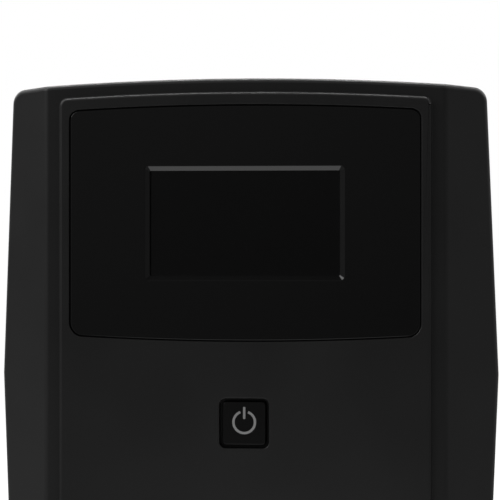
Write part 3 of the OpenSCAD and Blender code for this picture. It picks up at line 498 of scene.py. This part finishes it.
def coated(name, colour, rough):
    """Powder-coated steel with an orange-peel surface."""
    made = material(name, colour, rough)
    peel = noise(made, 900, 2)
    spread(made, noise(made, 2200, 2), rough * 0.9, rough * 1.12, "Roughness")
    tint(made, noise(made, 30, 3), scaled(colour, 0.92), scaled(colour, 1.08))
    bump(made, peel, 0.05)
    return made


def plated(name, colour, rough, stretch=(1, 1, 1)):
    """Bare or plated metal, with a brushed or drawn grain where it is stretched."""
    made = material(name, colour, rough, 1.0)
    spread(made, noise(made, 300, 4, stretch), rough * 0.7, rough * 1.4, "Roughness")
    tint(made, noise(made, 60, 3), scaled(colour, 0.88), scaled(colour, 1.08))
    bump(made, noise(made, 1500, 2, stretch), 0.006)
    return made


def banded(made, scale, direction, height, dark, light):
    """Adds fine parallel bands, such as stacked sheets or wound wire, to a material."""
    nodes, links = made.node_tree.nodes, made.node_tree.links
    place = nodes.new("ShaderNodeTexCoord")
    bands = nodes.new("ShaderNodeTexWave")
    bands.bands_direction = direction
    bands.inputs["Scale"].default_value = scale
    bands.inputs["Distortion"].default_value = 0.4
    links.new(place.outputs["Object"], bands.inputs["Vector"])
    tint(made, bands, dark, light)
    bump(made, bands, height)
    return made


def paint(obj, look):
    """Gives an object one material."""
    obj.data.materials.clear()
    obj.data.materials.append(look)


BEZEL_PLASTIC = moulded("bezel_satin", (0.0125, 0.0125, 0.0125), 0.42)
BUTTON_PLASTIC = moulded(
    "button_satin", (0.0020, 0.0020, 0.0020), 0.32, 3200, 0.006, others={"Specular IOR Level": 0.30},
)
PANEL_GLOSS = material("panel_gloss", (0.0016, 0.0016, 0.0016), 0.07)
LENS_CLEAR = material(
    "lens_clear", (0.26, 0.26, 0.26), 0.03, others={"Transmission Weight": 1.0, "IOR": 1.36},
)
LCD_GLASS = material("lcd_glass", (0.0035, 0.0035, 0.0035), 0.12)
SYMBOL_INK = moulded("symbol_ink", (0.42, 0.42, 0.42), 0.5, 2600, 0.004, 0.06)
CASE_COAT = coated("case_powder_coat", (0.0120, 0.0125, 0.0135), 0.46)
BLACK_PLASTIC = moulded("black_plastic", (0.0125, 0.0125, 0.0125), 0.40)
WHITE_PLASTIC = moulded("white_plastic", (0.70, 0.70, 0.66), 0.45)
BUTTON_WHITE = moulded("reset_white", (0.76, 0.76, 0.73), 0.28, 2600, 0.004, 0.05)
PLUNGER_RED = moulded("plunger_red", (0.45, 0.02, 0.015), 0.35)
RUBBER = moulded("foot_rubber", (0.018, 0.018, 0.018), 0.74, 1600, 0.03)
BATTERY_CASE = moulded("battery_case", (0.060, 0.064, 0.070), 0.48)
RELAY_BLUE = moulded("relay_blue", (0.02, 0.07, 0.26), 0.32)
BLOCK_GREEN = moulded("terminal_green", (0.02, 0.24, 0.08), 0.42)
FUSE_BASE = moulded("fuse_base", (0.55, 0.54, 0.50), 0.45)
SLEEVE = moulded("capacitor_sleeve", (0.012, 0.015, 0.030), 0.20, 1200, 0.006)
FOAM = moulded("foam", (0.050, 0.050, 0.050), 0.92, 700, 0.25)
LEAD_RED = moulded("lead_red", (0.42, 0.012, 0.012), 0.38, 900, 0.02)
LEAD_BLUE = moulded("lead_blue", (0.012, 0.06, 0.38), 0.38, 900, 0.02)
LEAD_BLACK = moulded("lead_black", (0.014, 0.014, 0.014), 0.38, 900, 0.02)
SCREW_ZINC = plated("zinc_screw", (0.62, 0.62, 0.60), 0.26)
SCREW_BLACK = plated("black_oxide", (0.045, 0.045, 0.047), 0.34)
SPRING_STEEL = plated("spring_steel", (0.58, 0.58, 0.58), 0.22, (1, 0.2, 1))
BRACKET_ZINC = plated("zinc_sheet", (0.60, 0.60, 0.57), 0.36)
TERMINAL = plated("tinned_brass", (0.74, 0.66, 0.48), 0.28)
NICKEL = plated("nickel", (0.70, 0.69, 0.65), 0.18)
SOCKET_STEEL = plated("socket_shell", (0.62, 0.62, 0.62), 0.26)
SINK = plated("extruded_aluminium", (0.72, 0.72, 0.74), 0.38, (1, 0.05, 1))
CORE_STEEL = banded(
    material("core_laminations", (0.10, 0.105, 0.11), 0.45, 0.6), 320, "Y", 0.06,
    (0.055, 0.058, 0.062), (0.13, 0.135, 0.14),
)
COPPER = banded(
    material("enamelled_copper", (0.42, 0.13, 0.05), 0.30, 0.8), 180, "Y", 0.25,
    (0.24, 0.06, 0.02), (0.52, 0.17, 0.06),
)
RIBBON = banded(
    material("ribbon_vinyl", (0.30, 0.30, 0.32), 0.45), 125, "Z", 0.12,
    (0.20, 0.20, 0.21), (0.36, 0.36, 0.38),
)
BOARD = material("solder_resist", (0.008, 0.075, 0.025), 0.24)
tint(BOARD, noise(BOARD, 180, 4, (1, 1, 0.4)), (0.006, 0.050, 0.016), (0.014, 0.105, 0.036))
bump(BOARD, noise(BOARD, 420, 2, (1, 0.3, 1)), 0.02)


# ---- Front bezel ----


def bezel_body():
    """The hexagonal body: a plate cut to the outline and to the flat front and sloping cheeks."""
    front = [(x, Y_FLAT, z + Z_MID) for x, z in bezel_outline(0, DRAFT)]
    back = [(x, Y_CASE, z + Z_MID) for x, z in bezel_outline()]
    body = loft("front_bezel_shell", [front, back])
    reach = BEZEL_HALF_W + 2 * OVER
    ahead = Y_FLAT - 2 * OVER
    turn = math.atan(CHEEK_SLOPE)
    start = FLAT_HALF - CREASE_R * math.tan(turn / 2)
    # The plan of what is cut away before a cheek: the crease's arc, the cheek, and round in front
    plan = []
    for i in range(CREASE_STEPS + 1):
        t = turn * i / CREASE_STEPS
        plan.append((start + CREASE_R * math.sin(t), Y_FLAT + CREASE_R * (1 - math.cos(t))))
    plan += [(reach, Y_FLAT + (reach - FLAT_HALF) * CHEEK_SLOPE), (reach, ahead), (start, ahead)]
    for side in (-1, 1):
        carve(body, "DIFFERENCE", tall_wedge(side, plan))
    return body


def bezel_hollow():
    """The inside of the shell, to be taken away: a smaller copy of the body, and the opening behind."""
    hollow = prism("hollow", bezel_outline(SHELL_T), Y_SKIN, Y_CASE - LIP_T)
    turn = math.atan(CHEEK_SLOPE)
    cheek_x = FLAT_HALF - SHELL_T * math.sin(turn)
    cheek_y = Y_FLAT + SHELL_T * math.cos(turn)
    reach = BEZEL_HALF_W + 2 * OVER
    ahead = Y_SKIN - OVER
    plan = [
        (cheek_x + (ahead - cheek_y) / CHEEK_SLOPE, ahead),
        (reach, cheek_y + (reach - cheek_x) * CHEEK_SLOPE),
        (reach, ahead),
    ]
    carve(hollow, "DIFFERENCE", tall_wedge(-1, plan), tall_wedge(1, plan))
    case_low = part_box("chassis_tray")[0][2] / MM
    case_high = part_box("top_cover")[1][2] / MM
    mouth_w = 2 * (BEZEL_HALF_W - SIDE_STEP - LIP_W)
    mouth_h = case_high - case_low - 2 * LIP_W
    opening = rounded(mouth_w, mouth_h, MOUTH_CORNER, (case_low + case_high) / 2)
    carve(hollow, "UNION", prism("mouth", opening, Y_CASE - LIP_T - OVER, Y_CASE + OVER, 0))
    return hollow


def screw_bosses():
    """The posts that take the case's and the display board's screws, and their bores."""
    posts = []
    bores = []
    for side in (-1, 1):
        for z in (Z_MID - BOSS_Z, Z_MID + BOSS_Z):
            x = side * BOSS_X
            posts.append(rod("post", x, z, BOSS_R, Y_SKIN - ROOT, Y_CASE))
            bores.append(rod("bore", x, z, BOSS_BORE_R, Y_CASE - BOSS_BORE_D, Y_CASE + OVER))
        for z in (BOARD_LOW.z + DISPLAY_BOSS_IN, BOARD_HIGH.z - DISPLAY_BOSS_IN):
            x = side * (BOARD_HIGH.x - DISPLAY_BOSS_IN)
            y = BOARD_LOW.y
            posts.append(rod("post", x, z, DISPLAY_BOSS_R, Y_SKIN - ROOT, y))
            bores.append(rod("bore", x, z, DISPLAY_BORE_R, y - DISPLAY_BORE_D, y + OVER))
    return posts, bores


def bezel_cuts():
    """What is cut into the front: the panel's pocket, the lens's seat, the button's recess and the slots."""
    ahead = Y_FACE - OVER
    behind = Y_SKIN + OVER
    seat = rounded(LENS_W + 2 * LENS_GAP, LENS_H + 2 * LENS_GAP, LENS_CORNER + LENS_GAP, WINDOW_Z)
    hole = rounded(WINDOW_W, WINDOW_H, WINDOW_HOLE_R, WINDOW_Z)
    recess_w = BUTTON_W + 2 * RECESS_GAP
    recess = rounded(recess_w, recess_w, RECESS_CORNER, BUTTON_Z)
    guide_w = BUTTON_W + 2 * GUIDE_GAP
    guide = rounded(guide_w, guide_w, BUTTON_CORNER + GUIDE_GAP, BUTTON_Z)
    cuts = [
        prism("pocket", panel_outline(PANEL_GAP), ahead, Y_POCKET),
        prism("seat", seat, Y_POCKET - OVER, Y_LENS),
        prism("through", hole, Y_LENS - OVER, behind),
        prism("recess", recess, ahead, Y_FACE + RECESS_D),
        prism("guide", guide, Y_FACE, behind),
    ]
    for i in range(INTAKE_N):
        slot = rounded(INTAKE_L, INTAKE_W, INTAKE_W / 2 - HAIR, -INTAKE_TOP - i * INTAKE_PITCH)
        cuts.append(prism("intake", slot, ahead, behind))
    return cuts


def bezel_radius(p):
    """The radius of the bezel's edge whose middle is at p: small on the face, larger on the outline."""
    x, z = abs(p.x), p.z - Z_MID
    from_side = BEZEL_HALF_W - WAIST - x
    from_top = BEZEL_HALF_H - abs(z)
    inside_frame = x < FRAME_HALF + ROOT and from_top > FRAME_STEP - ROOT
    if p.y > Y_CASE - 2 * NEAR:
        return BACK_R if from_side < RIM_SIDE or from_top < RIM_BACK_TOP else 0
    if p.y > Y_FACE + 2 * FRAME_RISE and from_side > RIM_SIDE and from_top > RIM_DEPTH_TOP:
        return 0
    if abs(p.y - Y_FACE) < NEAR:
        if x < BUTTON_W and abs(z - BUTTON_Z) < BUTTON_W:
            return RECESS_R
        if z < INTAKE_PITCH - INTAKE_TOP and x < INTAKE_L / 2 + ROUND_OPENING:
            return SLOT_R
        beside_panel = x < PANEL_HIGH.x + ROUND_PANEL
        level_with_panel = PANEL_LOW.z - 1 < p.z < PANEL_HIGH.z + 1
        return POCKET_R if beside_panel and level_with_panel else FRAME_R
    if abs(p.y - Y_FLAT) < NEAR and inside_frame:
        return FRAME_FOOT_R
    if p.y < Y_FLAT - NEAR or (inside_frame and p.y < Y_SKIN + NEAR):
        return 0
    return OUTLINE_R if from_side < RIM_FRONT_SIDE or from_top < RIM_FRONT_TOP else 0


def front_bezel():
    body = bezel_body()
    carve(body, "UNION", prism("frame", frame_outline(), Y_FACE, Y_FLAT + ROOT))
    carve(body, "DIFFERENCE", bezel_hollow())
    posts, bores = screw_bosses()
    carve(body, "UNION", *posts)
    carve(body, "DIFFERENCE", *bores)
    carve(body, "DIFFERENCE", *bezel_cuts())
    soften(body, bezel_radius)
    paint(body, BEZEL_PLASTIC)
    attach(body, "case")
    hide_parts("front_bezel")


def window_frustum():
    """The solid between the window's outer rectangle in front and its inner one behind."""
    outer = rounded(WINDOW_W + 2 * WINDOW_EDGE, WINDOW_H + 2 * WINDOW_EDGE, WINDOW_FRONT_R, WINDOW_Z)
    inner = rounded(WINDOW_W, WINDOW_H, WINDOW_BACK_R, WINDOW_Z)
    rings = [
        [(x, PANEL_LOW.y - HAIR, z + Z_MID) for x, z in outer],
        [(x, PANEL_LOW.y + WINDOW_EDGE_D, z + Z_MID) for x, z in inner],
        [(x, Y_POCKET + OVER, z + Z_MID) for x, z in inner],
    ]
    return loft("frustum", rings)


def panel_radius(p):
    """The radius of the panel's edge whose middle is at p: smallest round the window."""
    if abs(p.y - PANEL_LOW.y) > NEAR:
        return 0
    beside_window = abs(p.x) < WINDOW_W / 2 + ROUND_OPENING
    level_with_window = abs(p.z - Z_MID - WINDOW_Z) < WINDOW_H / 2 + ROUND_OPENING
    return WINDOW_R if beside_window and level_with_window else POCKET_R


def display_panel():
    panel = prism("display_panel_gloss", panel_outline(), PANEL_LOW.y, Y_POCKET)
    carve(panel, "DIFFERENCE", window_frustum())
    soften(panel, panel_radius, 3)
    paint(panel, PANEL_GLOSS)
    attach(panel, "case")
    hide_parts("display_panel")


def display_lens():
    outline = rounded(LENS_W, LENS_H, LENS_CORNER, WINDOW_Z)
    lens = prism("display_lens_clear", outline, LENS_LOW.y + LENS_BACK_OFF, LENS_HIGH.y)
    soften(lens, lambda p: LENS_R, 2)
    paint(lens, LENS_CLEAR)
    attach(lens, "case")
    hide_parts("display_lens")


# ---- Power button ----


def power_button():
    """The cap, the collar that keeps it in, and the stem that meets the switch."""
    y0 = BUTTON_LOW.y
    y1 = Y_SKIN + COLLAR_GAP
    y2 = y1 + COLLAR_T
    face = rounded(BUTTON_W, BUTTON_W, BUTTON_CORNER, BUTTON_Z)
    cap = prism("power_button_cap", face, y0, y1 + COLLAR_ROOT)
    collar = prism("collar", rounded(COLLAR_W, COLLAR_W, COLLAR_CORNER, BUTTON_Z), y1, y2)
    bar = rounded(STEM_W, STEM_W, STEM_W / 2 - HAIR, BUTTON_Z, 12)
    stem = prism("stem", bar, y2 - COLLAR_ROOT, BUTTON_HIGH.y)
    carve(cap, "UNION", collar, stem)
    soften(cap, lambda p: RECESS_R if p.y < y0 + NEAR else 0)
    paint(cap, BUTTON_PLASTIC)
    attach(cap, "power_button")
    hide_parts("power_button")


def power_symbol():
    """A ring open at the top, and a bar in the opening, both a thin layer of ink."""
    width = SYMBOL_HIGH.x - SYMBOL_LOW.x
    line = width * SYMBOL_LINE
    ring_r = (width - line) / 2
    middle = SYMBOL_LOW.z + ring_r + line / 2
    y0, y1 = SYMBOL_LOW.y, SYMBOL_HIGH.y
    gap = math.asin(SYMBOL_OPENING * line / ring_r)
    outward = range(SYMBOL_STEPS + 1)
    outline = []
    for r, order in ((ring_r + line / 2, outward), (ring_r - line / 2, reversed(outward))):
        for i in order:
            t = math.pi / 2 + gap + (2 * math.pi - 2 * gap) * i / SYMBOL_STEPS
            outline.append((r * math.cos(t), middle + r * math.sin(t)))
    ring = prism("power_symbol_ink", outline, y0, y1, 0)
    low = middle + ring_r * SYMBOL_BAR_LOW
    high = SYMBOL_HIGH.z
    bar = rounded(line, high - low, line * SYMBOL_BAR_CORNER, (low + high) / 2, 4)
    carve(ring, "UNION", prism("bar", bar, y0, y1, 0))
    paint(ring, SYMBOL_INK)
    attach(ring, "power_button")
    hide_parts("power_symbol")


def button_spring():
    """A coil with closed ends, from the button's collar to the board."""
    low, high = box_mm("button_spring")
    radius = (high.x - low.x) / 2 - SPRING_WIRE_R
    middle = (low.z + high.z) / 2
    closed = 2 * SPRING_WIRE_R
    travel = high.y - low.y - closed
    rings = []
    steps = SPRING_TURNS * SPRING_STEPS
    for i in range(steps + 1):
        turn = SPRING_TURNS * i / steps
        # The first and last turns lie close together, and the ones between share the rest
        rise = min(turn, 1) * closed + max(0, turn - SPRING_TURNS + 1) * closed
        share = min(max((turn - 1) / (SPRING_TURNS - 2), 0), 1)
        rise += share * (travel - 2 * closed)
        t = 2 * math.pi * turn
        ring = []
        for k in range(SPRING_SIDES):
            a = 2 * math.pi * k / SPRING_SIDES
            reach = radius + SPRING_WIRE_R * math.cos(a)
            y = low.y + SPRING_WIRE_R + rise + SPRING_WIRE_R * math.sin(a)
            ring.append((reach * math.cos(t), y, middle + reach * math.sin(t)))
        rings.append(ring)
    coil = loft("button_spring_coil", rings)
    bm = bmesh.new()
    bm.from_mesh(coil.data)
    bmesh.ops.recalc_face_normals(bm, faces=bm.faces)
    bm.to_mesh(coil.data)
    bm.free()
    for face in coil.data.polygons:
        face.use_smooth = len(face.vertices) == 4
    paint(coil, SPRING_STEEL)
    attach(coil, "case")
    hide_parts("button_spring")
    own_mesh(coil)


# ---- The rest of the frame ----


# A material, the radius of the edges in millimetres and the nodes that have them
DRESS = [
    (CASE_COAT, 0.12, "chassis_tray top_cover rear_panel"),
    (LCD_GLASS, 0.15, "lcd_module"),
    (WHITE_PLASTIC, 0.25, "lcd_holder ribbon_header transformer_bobbin"),
    (BOARD, 0.15, "display_board main_board"),
    (SCREW_ZINC, 0.12, "display_board_screws bezel_screws battery_bracket_screws transformer_bolts"),
    (SCREW_ZINC, 0.12, "board_screws"),
    (SCREW_BLACK, 0.12, "cover_screws foot_screws rear_panel_screws fan_screws"),
    (BLACK_PLASTIC, 0.15, "power_switch buzzer power_transistors"),
    (BLACK_PLASTIC, 0.25, "ac_inlet outlet_1 outlet_2 outlet_3 outlet_4 breaker_body data_ports"),
    (BLACK_PLASTIC, 0.15, "fan_frame fan_rotor"),
    (PLUNGER_RED, 0.20, "switch_plunger"),
    (RIBBON, 0, "ribbon_cable"),
    (RUBBER, 0.70, "rubber_feet"),
    (BATTERY_CASE, 0.60, "battery_front battery_rear"),
    (TERMINAL, 0.12, "battery_terminals board_standoffs"),
    (BRACKET_ZINC, 0.25, "battery_bracket transformer_frame"),
    (FOAM, 0.50, "battery_pads"),
    (CORE_STEEL, 0.20, "transformer_core"),
    (COPPER, 1.50, "transformer_windings"),
    (SINK, 0.20, "heat_sinks"),
    (RELAY_BLUE, 0.50, "relays"),
    (SLEEVE, 0.40, "capacitors"),
    (FUSE_BASE, 0.20, "board_fuse"),
    (BLOCK_GREEN, 0.30, "terminal_block"),
    (NICKEL, 0.30, "inlet_pins"),
    (BUTTON_WHITE, 0.12, "breaker_button"),
    (SOCKET_STEEL, 0.10, "usb_port"),
]
# Smoothing a wire makes it thinner, so it is swollen by this much first, in millimetres
WIRE_SWELL = 0.08
# Wires, which are round and get no edges
WIRES = [
    (LEAD_BLUE, "battery_link_lead"),
    (LEAD_RED, "battery_positive_lead"),
    (LEAD_BLACK, "battery_negative_lead"),
]


# What counts as one point in millimetres, as one plane, and as an edge to be rounded
WELD = 0.05
JOINED_BELOW = math.radians(0.3)
NODE_ROUNDED_FROM = math.radians(40)


def join_facets(node):
    """Undoes the splitting into triangles, as a modifier."""
    weld = node.modifiers.new("weld", "WELD")
    weld.merge_threshold = WELD * MM
    flat = node.modifiers.new("flat", "DECIMATE")
    flat.decimate_type = "DISSOLVE"
    flat.angle_limit = JOINED_BELOW


def dress_frame():
    """Gives every CAD node that stays a material, and its soft edges as modifiers."""
    for look, radius, names in DRESS:
        for name in names.split():
            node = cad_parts[name]
            paint(node, look)
            join_facets(node)
            if radius:
                bevel_edges(node, radius, 3, "ANGLE").angle_limit = NODE_ROUNDED_FROM
            level_normals(node, False)
            smooth_faces(node.data)
    for look, name in WIRES:
        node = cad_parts[name]
        paint(node, look)
        join_facets(node)
        swell = node.modifiers.new("swell", "DISPLACE")
        swell.mid_level = 0
        swell.strength = WIRE_SWELL * MM
        smooth = node.modifiers.new("smooth", "SUBSURF")
        smooth.levels = 2
        smooth.render_levels = 2


# ---- Stage ----

# The room's soft light: the direction it comes from, where it starts and is full, and its strength
ROOM_LIGHT = [
    ((-0.5, -0.75, 0.45), 0.5, 1.0, 0.190),
    ((0.5, -0.75, 0.45), 0.5, 1.0, 0.035),
    ((-1, 0, 0), 0.2, 0.8, 0.140),
    ((1, 0, 0), 0.2, 0.8, 0.150),
    ((0, 0, 1), 0.2, 0.8, 0.020),
    ((0, 1, 0), 0.5, 1.0, 0.25),
]
# Softboxes: place, what they point at and size in metres, and power in watts
LAMPS = [
    ("softbox_left", (-1.1, -0.55, 1.0), (0, -0.15, 0.09), (0.9, 0.9), 6.8),
    ("softbox_right", (1.1, -0.55, 1.0), (0, -0.15, 0.09), (0.3, 0.3), 0.9),
    ("softbox_top", (0, -0.10, 1.1), (0, -0.16, 0.1), (1.3, 0.12), 8.0),
    ("softbox_top_back", (0, 0.5, 1.1), (0, -0.2, 0.1), (1.3, 0.1), 9.0),
    ("softbox_back_left", (-1.0, 0.9, 0.8), (0, 0, 0.09), (0.7, 0.7), 3),
    ("softbox_back_right", (1.0, 0.9, 0.8), (0, 0, 0.09), (0.7, 0.7), 3),
]
# The floor's radius in millimetres, and how brightly it shines to the camera
FLOOR_R = 900
FLOOR_SEEN = 0.85
# A painted pool of light: an oval on the floor ahead of the front glows, though it is no lamp, and
# lights the front from below for every ray but the camera's. Its strength, how far ahead its middle
# is in millimetres, how much wider it is than deep, and the half widths in metres within which it is
# full and beyond which it is gone
GLOW = 1.2
GLOW_AHEAD = 54
GLOW_FLAT = 2.4
GLOW_NEAR = 0.050
GLOW_FAR = 0.075


def area_light(name, place, aim, size, power):
    """A rectangular softbox, with its places and size in metres."""
    lamp = bpy.data.lights.new(name, "AREA")
    lamp.shape = "RECTANGLE"
    lamp.size, lamp.size_y = size
    lamp.energy = power
    obj = link(name, lamp)
    obj.location = place
    obj.rotation_euler = (Vector(aim) - Vector(place)).to_track_quat("-Z", "Y").to_euler()


def studio_world():
    """White to the camera. To everything else it is a dim room with soft light from a few sides."""
    world = bpy.data.worlds.new("studio")
    bpy.context.scene.world = world
    world.use_nodes = True
    nodes, links = world.node_tree.nodes, world.node_tree.links
    nodes.clear()
    place = nodes.new("ShaderNodeTexCoord")
    total = None
    for direction, start, end, strength in ROOM_LIGHT:
        toward = nodes.new("ShaderNodeVectorMath")
        toward.operation = "DOT_PRODUCT"
        toward.inputs[1].default_value = Vector(direction).normalized()
        links.new(place.outputs["Generated"], toward.inputs[0])
        ranged = nodes.new("ShaderNodeMapRange")
        ranged.interpolation_type = "SMOOTHSTEP"
        ranged.inputs["From Min"].default_value = start
        ranged.inputs["From Max"].default_value = end
        ranged.inputs["To Max"].default_value = strength
        links.new(toward.outputs["Value"], ranged.inputs["Value"])
        if total is None:
            total = ranged.outputs["Result"]
            continue
        adder = nodes.new("ShaderNodeMath")
        adder.operation = "ADD"
        links.new(total, adder.inputs[0])
        links.new(ranged.outputs["Result"], adder.inputs[1])
        total = adder.outputs["Value"]
    lit = nodes.new("ShaderNodeBackground")
    links.new(total, lit.inputs["Color"])
    seen = nodes.new("ShaderNodeBackground")
    seen.inputs["Color"].default_value = (1, 1, 1, 1)
    path = nodes.new("ShaderNodeLightPath")
    choose = nodes.new("ShaderNodeMixShader")
    out = nodes.new("ShaderNodeOutputWorld")
    links.new(path.outputs["Is Camera Ray"], choose.inputs["Fac"])
    links.new(lit.outputs["Background"], choose.inputs[1])
    links.new(seen.outputs["Background"], choose.inputs[2])
    links.new(choose.outputs["Shader"], out.inputs["Surface"])


def pale_floor():
    """A round pale floor, exposed to white where nothing shades it, glowing before the front in a painted
    pool of light.
    """
    bm = bmesh.new()
    bmesh.ops.create_circle(bm, cap_ends=True, segments=96, radius=FLOOR_R)
    floor = from_bmesh("floor", bm)
    paper = material("floor_paper", (0.19, 0.19, 0.19), 0.7, others={"Emission Color": (1, 1, 1, 1)})
    tint(paper, noise(paper, 8, 2), (0.18, 0.18, 0.18), (0.20, 0.20, 0.20))
    nodes, links = paper.node_tree.nodes, paper.node_tree.links
    place = nodes.new("ShaderNodeTexCoord")
    oval = nodes.new("ShaderNodeMapping")
    oval.inputs["Location"].default_value = (0, -GLOW_FLAT * (Y_FACE - GLOW_AHEAD) * MM, 0)
    oval.inputs["Scale"].default_value = (1, GLOW_FLAT, 1)
    away = nodes.new("ShaderNodeVectorMath")
    away.operation = "LENGTH"
    links.new(place.outputs["Object"], oval.inputs["Vector"])
    links.new(oval.outputs["Vector"], away.inputs[0])
    # Painted light: the floor's own emission in the oval, which lights the object though the floor is no
    # lamp
    glow = nodes.new("ShaderNodeMapRange")
    glow.interpolation_type = "SMOOTHSTEP"
    glow.inputs["From Min"].default_value = GLOW_NEAR
    glow.inputs["From Max"].default_value = GLOW_FAR
    glow.inputs["To Min"].default_value = GLOW
    glow.inputs["To Max"].default_value = 0
    links.new(away.outputs["Value"], glow.inputs["Value"])
    path = nodes.new("ShaderNodeLightPath")
    choose = nodes.new("ShaderNodeMix")
    choose.inputs["B"].default_value = FLOOR_SEEN
    links.new(path.outputs["Is Camera Ray"], choose.inputs["Factor"])
    links.new(glow.outputs["Result"], choose.inputs["A"])
    links.new(choose.outputs["Result"], nodes["Principled BSDF"].inputs["Emission Strength"])
    floor.data.materials.append(paper)


def stage():
    """The floor, the room's light and the softboxes."""
    pale_floor()
    studio_world()
    for name, place, aim, size, power in LAMPS:
        area_light(name, place, aim, size, power)
    bpy.context.scene.view_settings.view_transform = "Standard"


# The camera: how far it is, how far round to the right in degrees, and what it aims at, right of and
# above the bezel's middle, with the width that it sees there, all in millimetres
CAMERA_AWAY = 600
CAMERA_YAW = 4.6
AIM_RIGHT = 0.5
AIM_UP = 34.83
VIEW_W = 140.4
SENSOR_W = 36


def camera():
    """Level, and aimed at the upper part of the front from a little to the right."""
    yaw = math.radians(CAMERA_YAW)
    aim = Vector((AIM_RIGHT, (Y_CASE + Y_FACE) / 2, Z_MID + AIM_UP))
    place = aim + CAMERA_AWAY * Vector((math.sin(yaw), -math.cos(yaw), 0))
    lens = bpy.data.cameras.new("camera")
    lens.sensor_width = SENSOR_W
    lens.lens = SENSOR_W * CAMERA_AWAY / VIEW_W
    lens.clip_start = 0.01
    lens.clip_end = 100
    obj = link("camera", lens)
    obj.location = place * MM
    obj.rotation_euler = (aim - place).to_track_quat("-Z", "Y").to_euler()
    bpy.context.scene.camera = obj


camera()
dress_frame()
front_bezel()
display_panel()
display_lens()
power_button()
power_symbol()
button_spring()
stage()
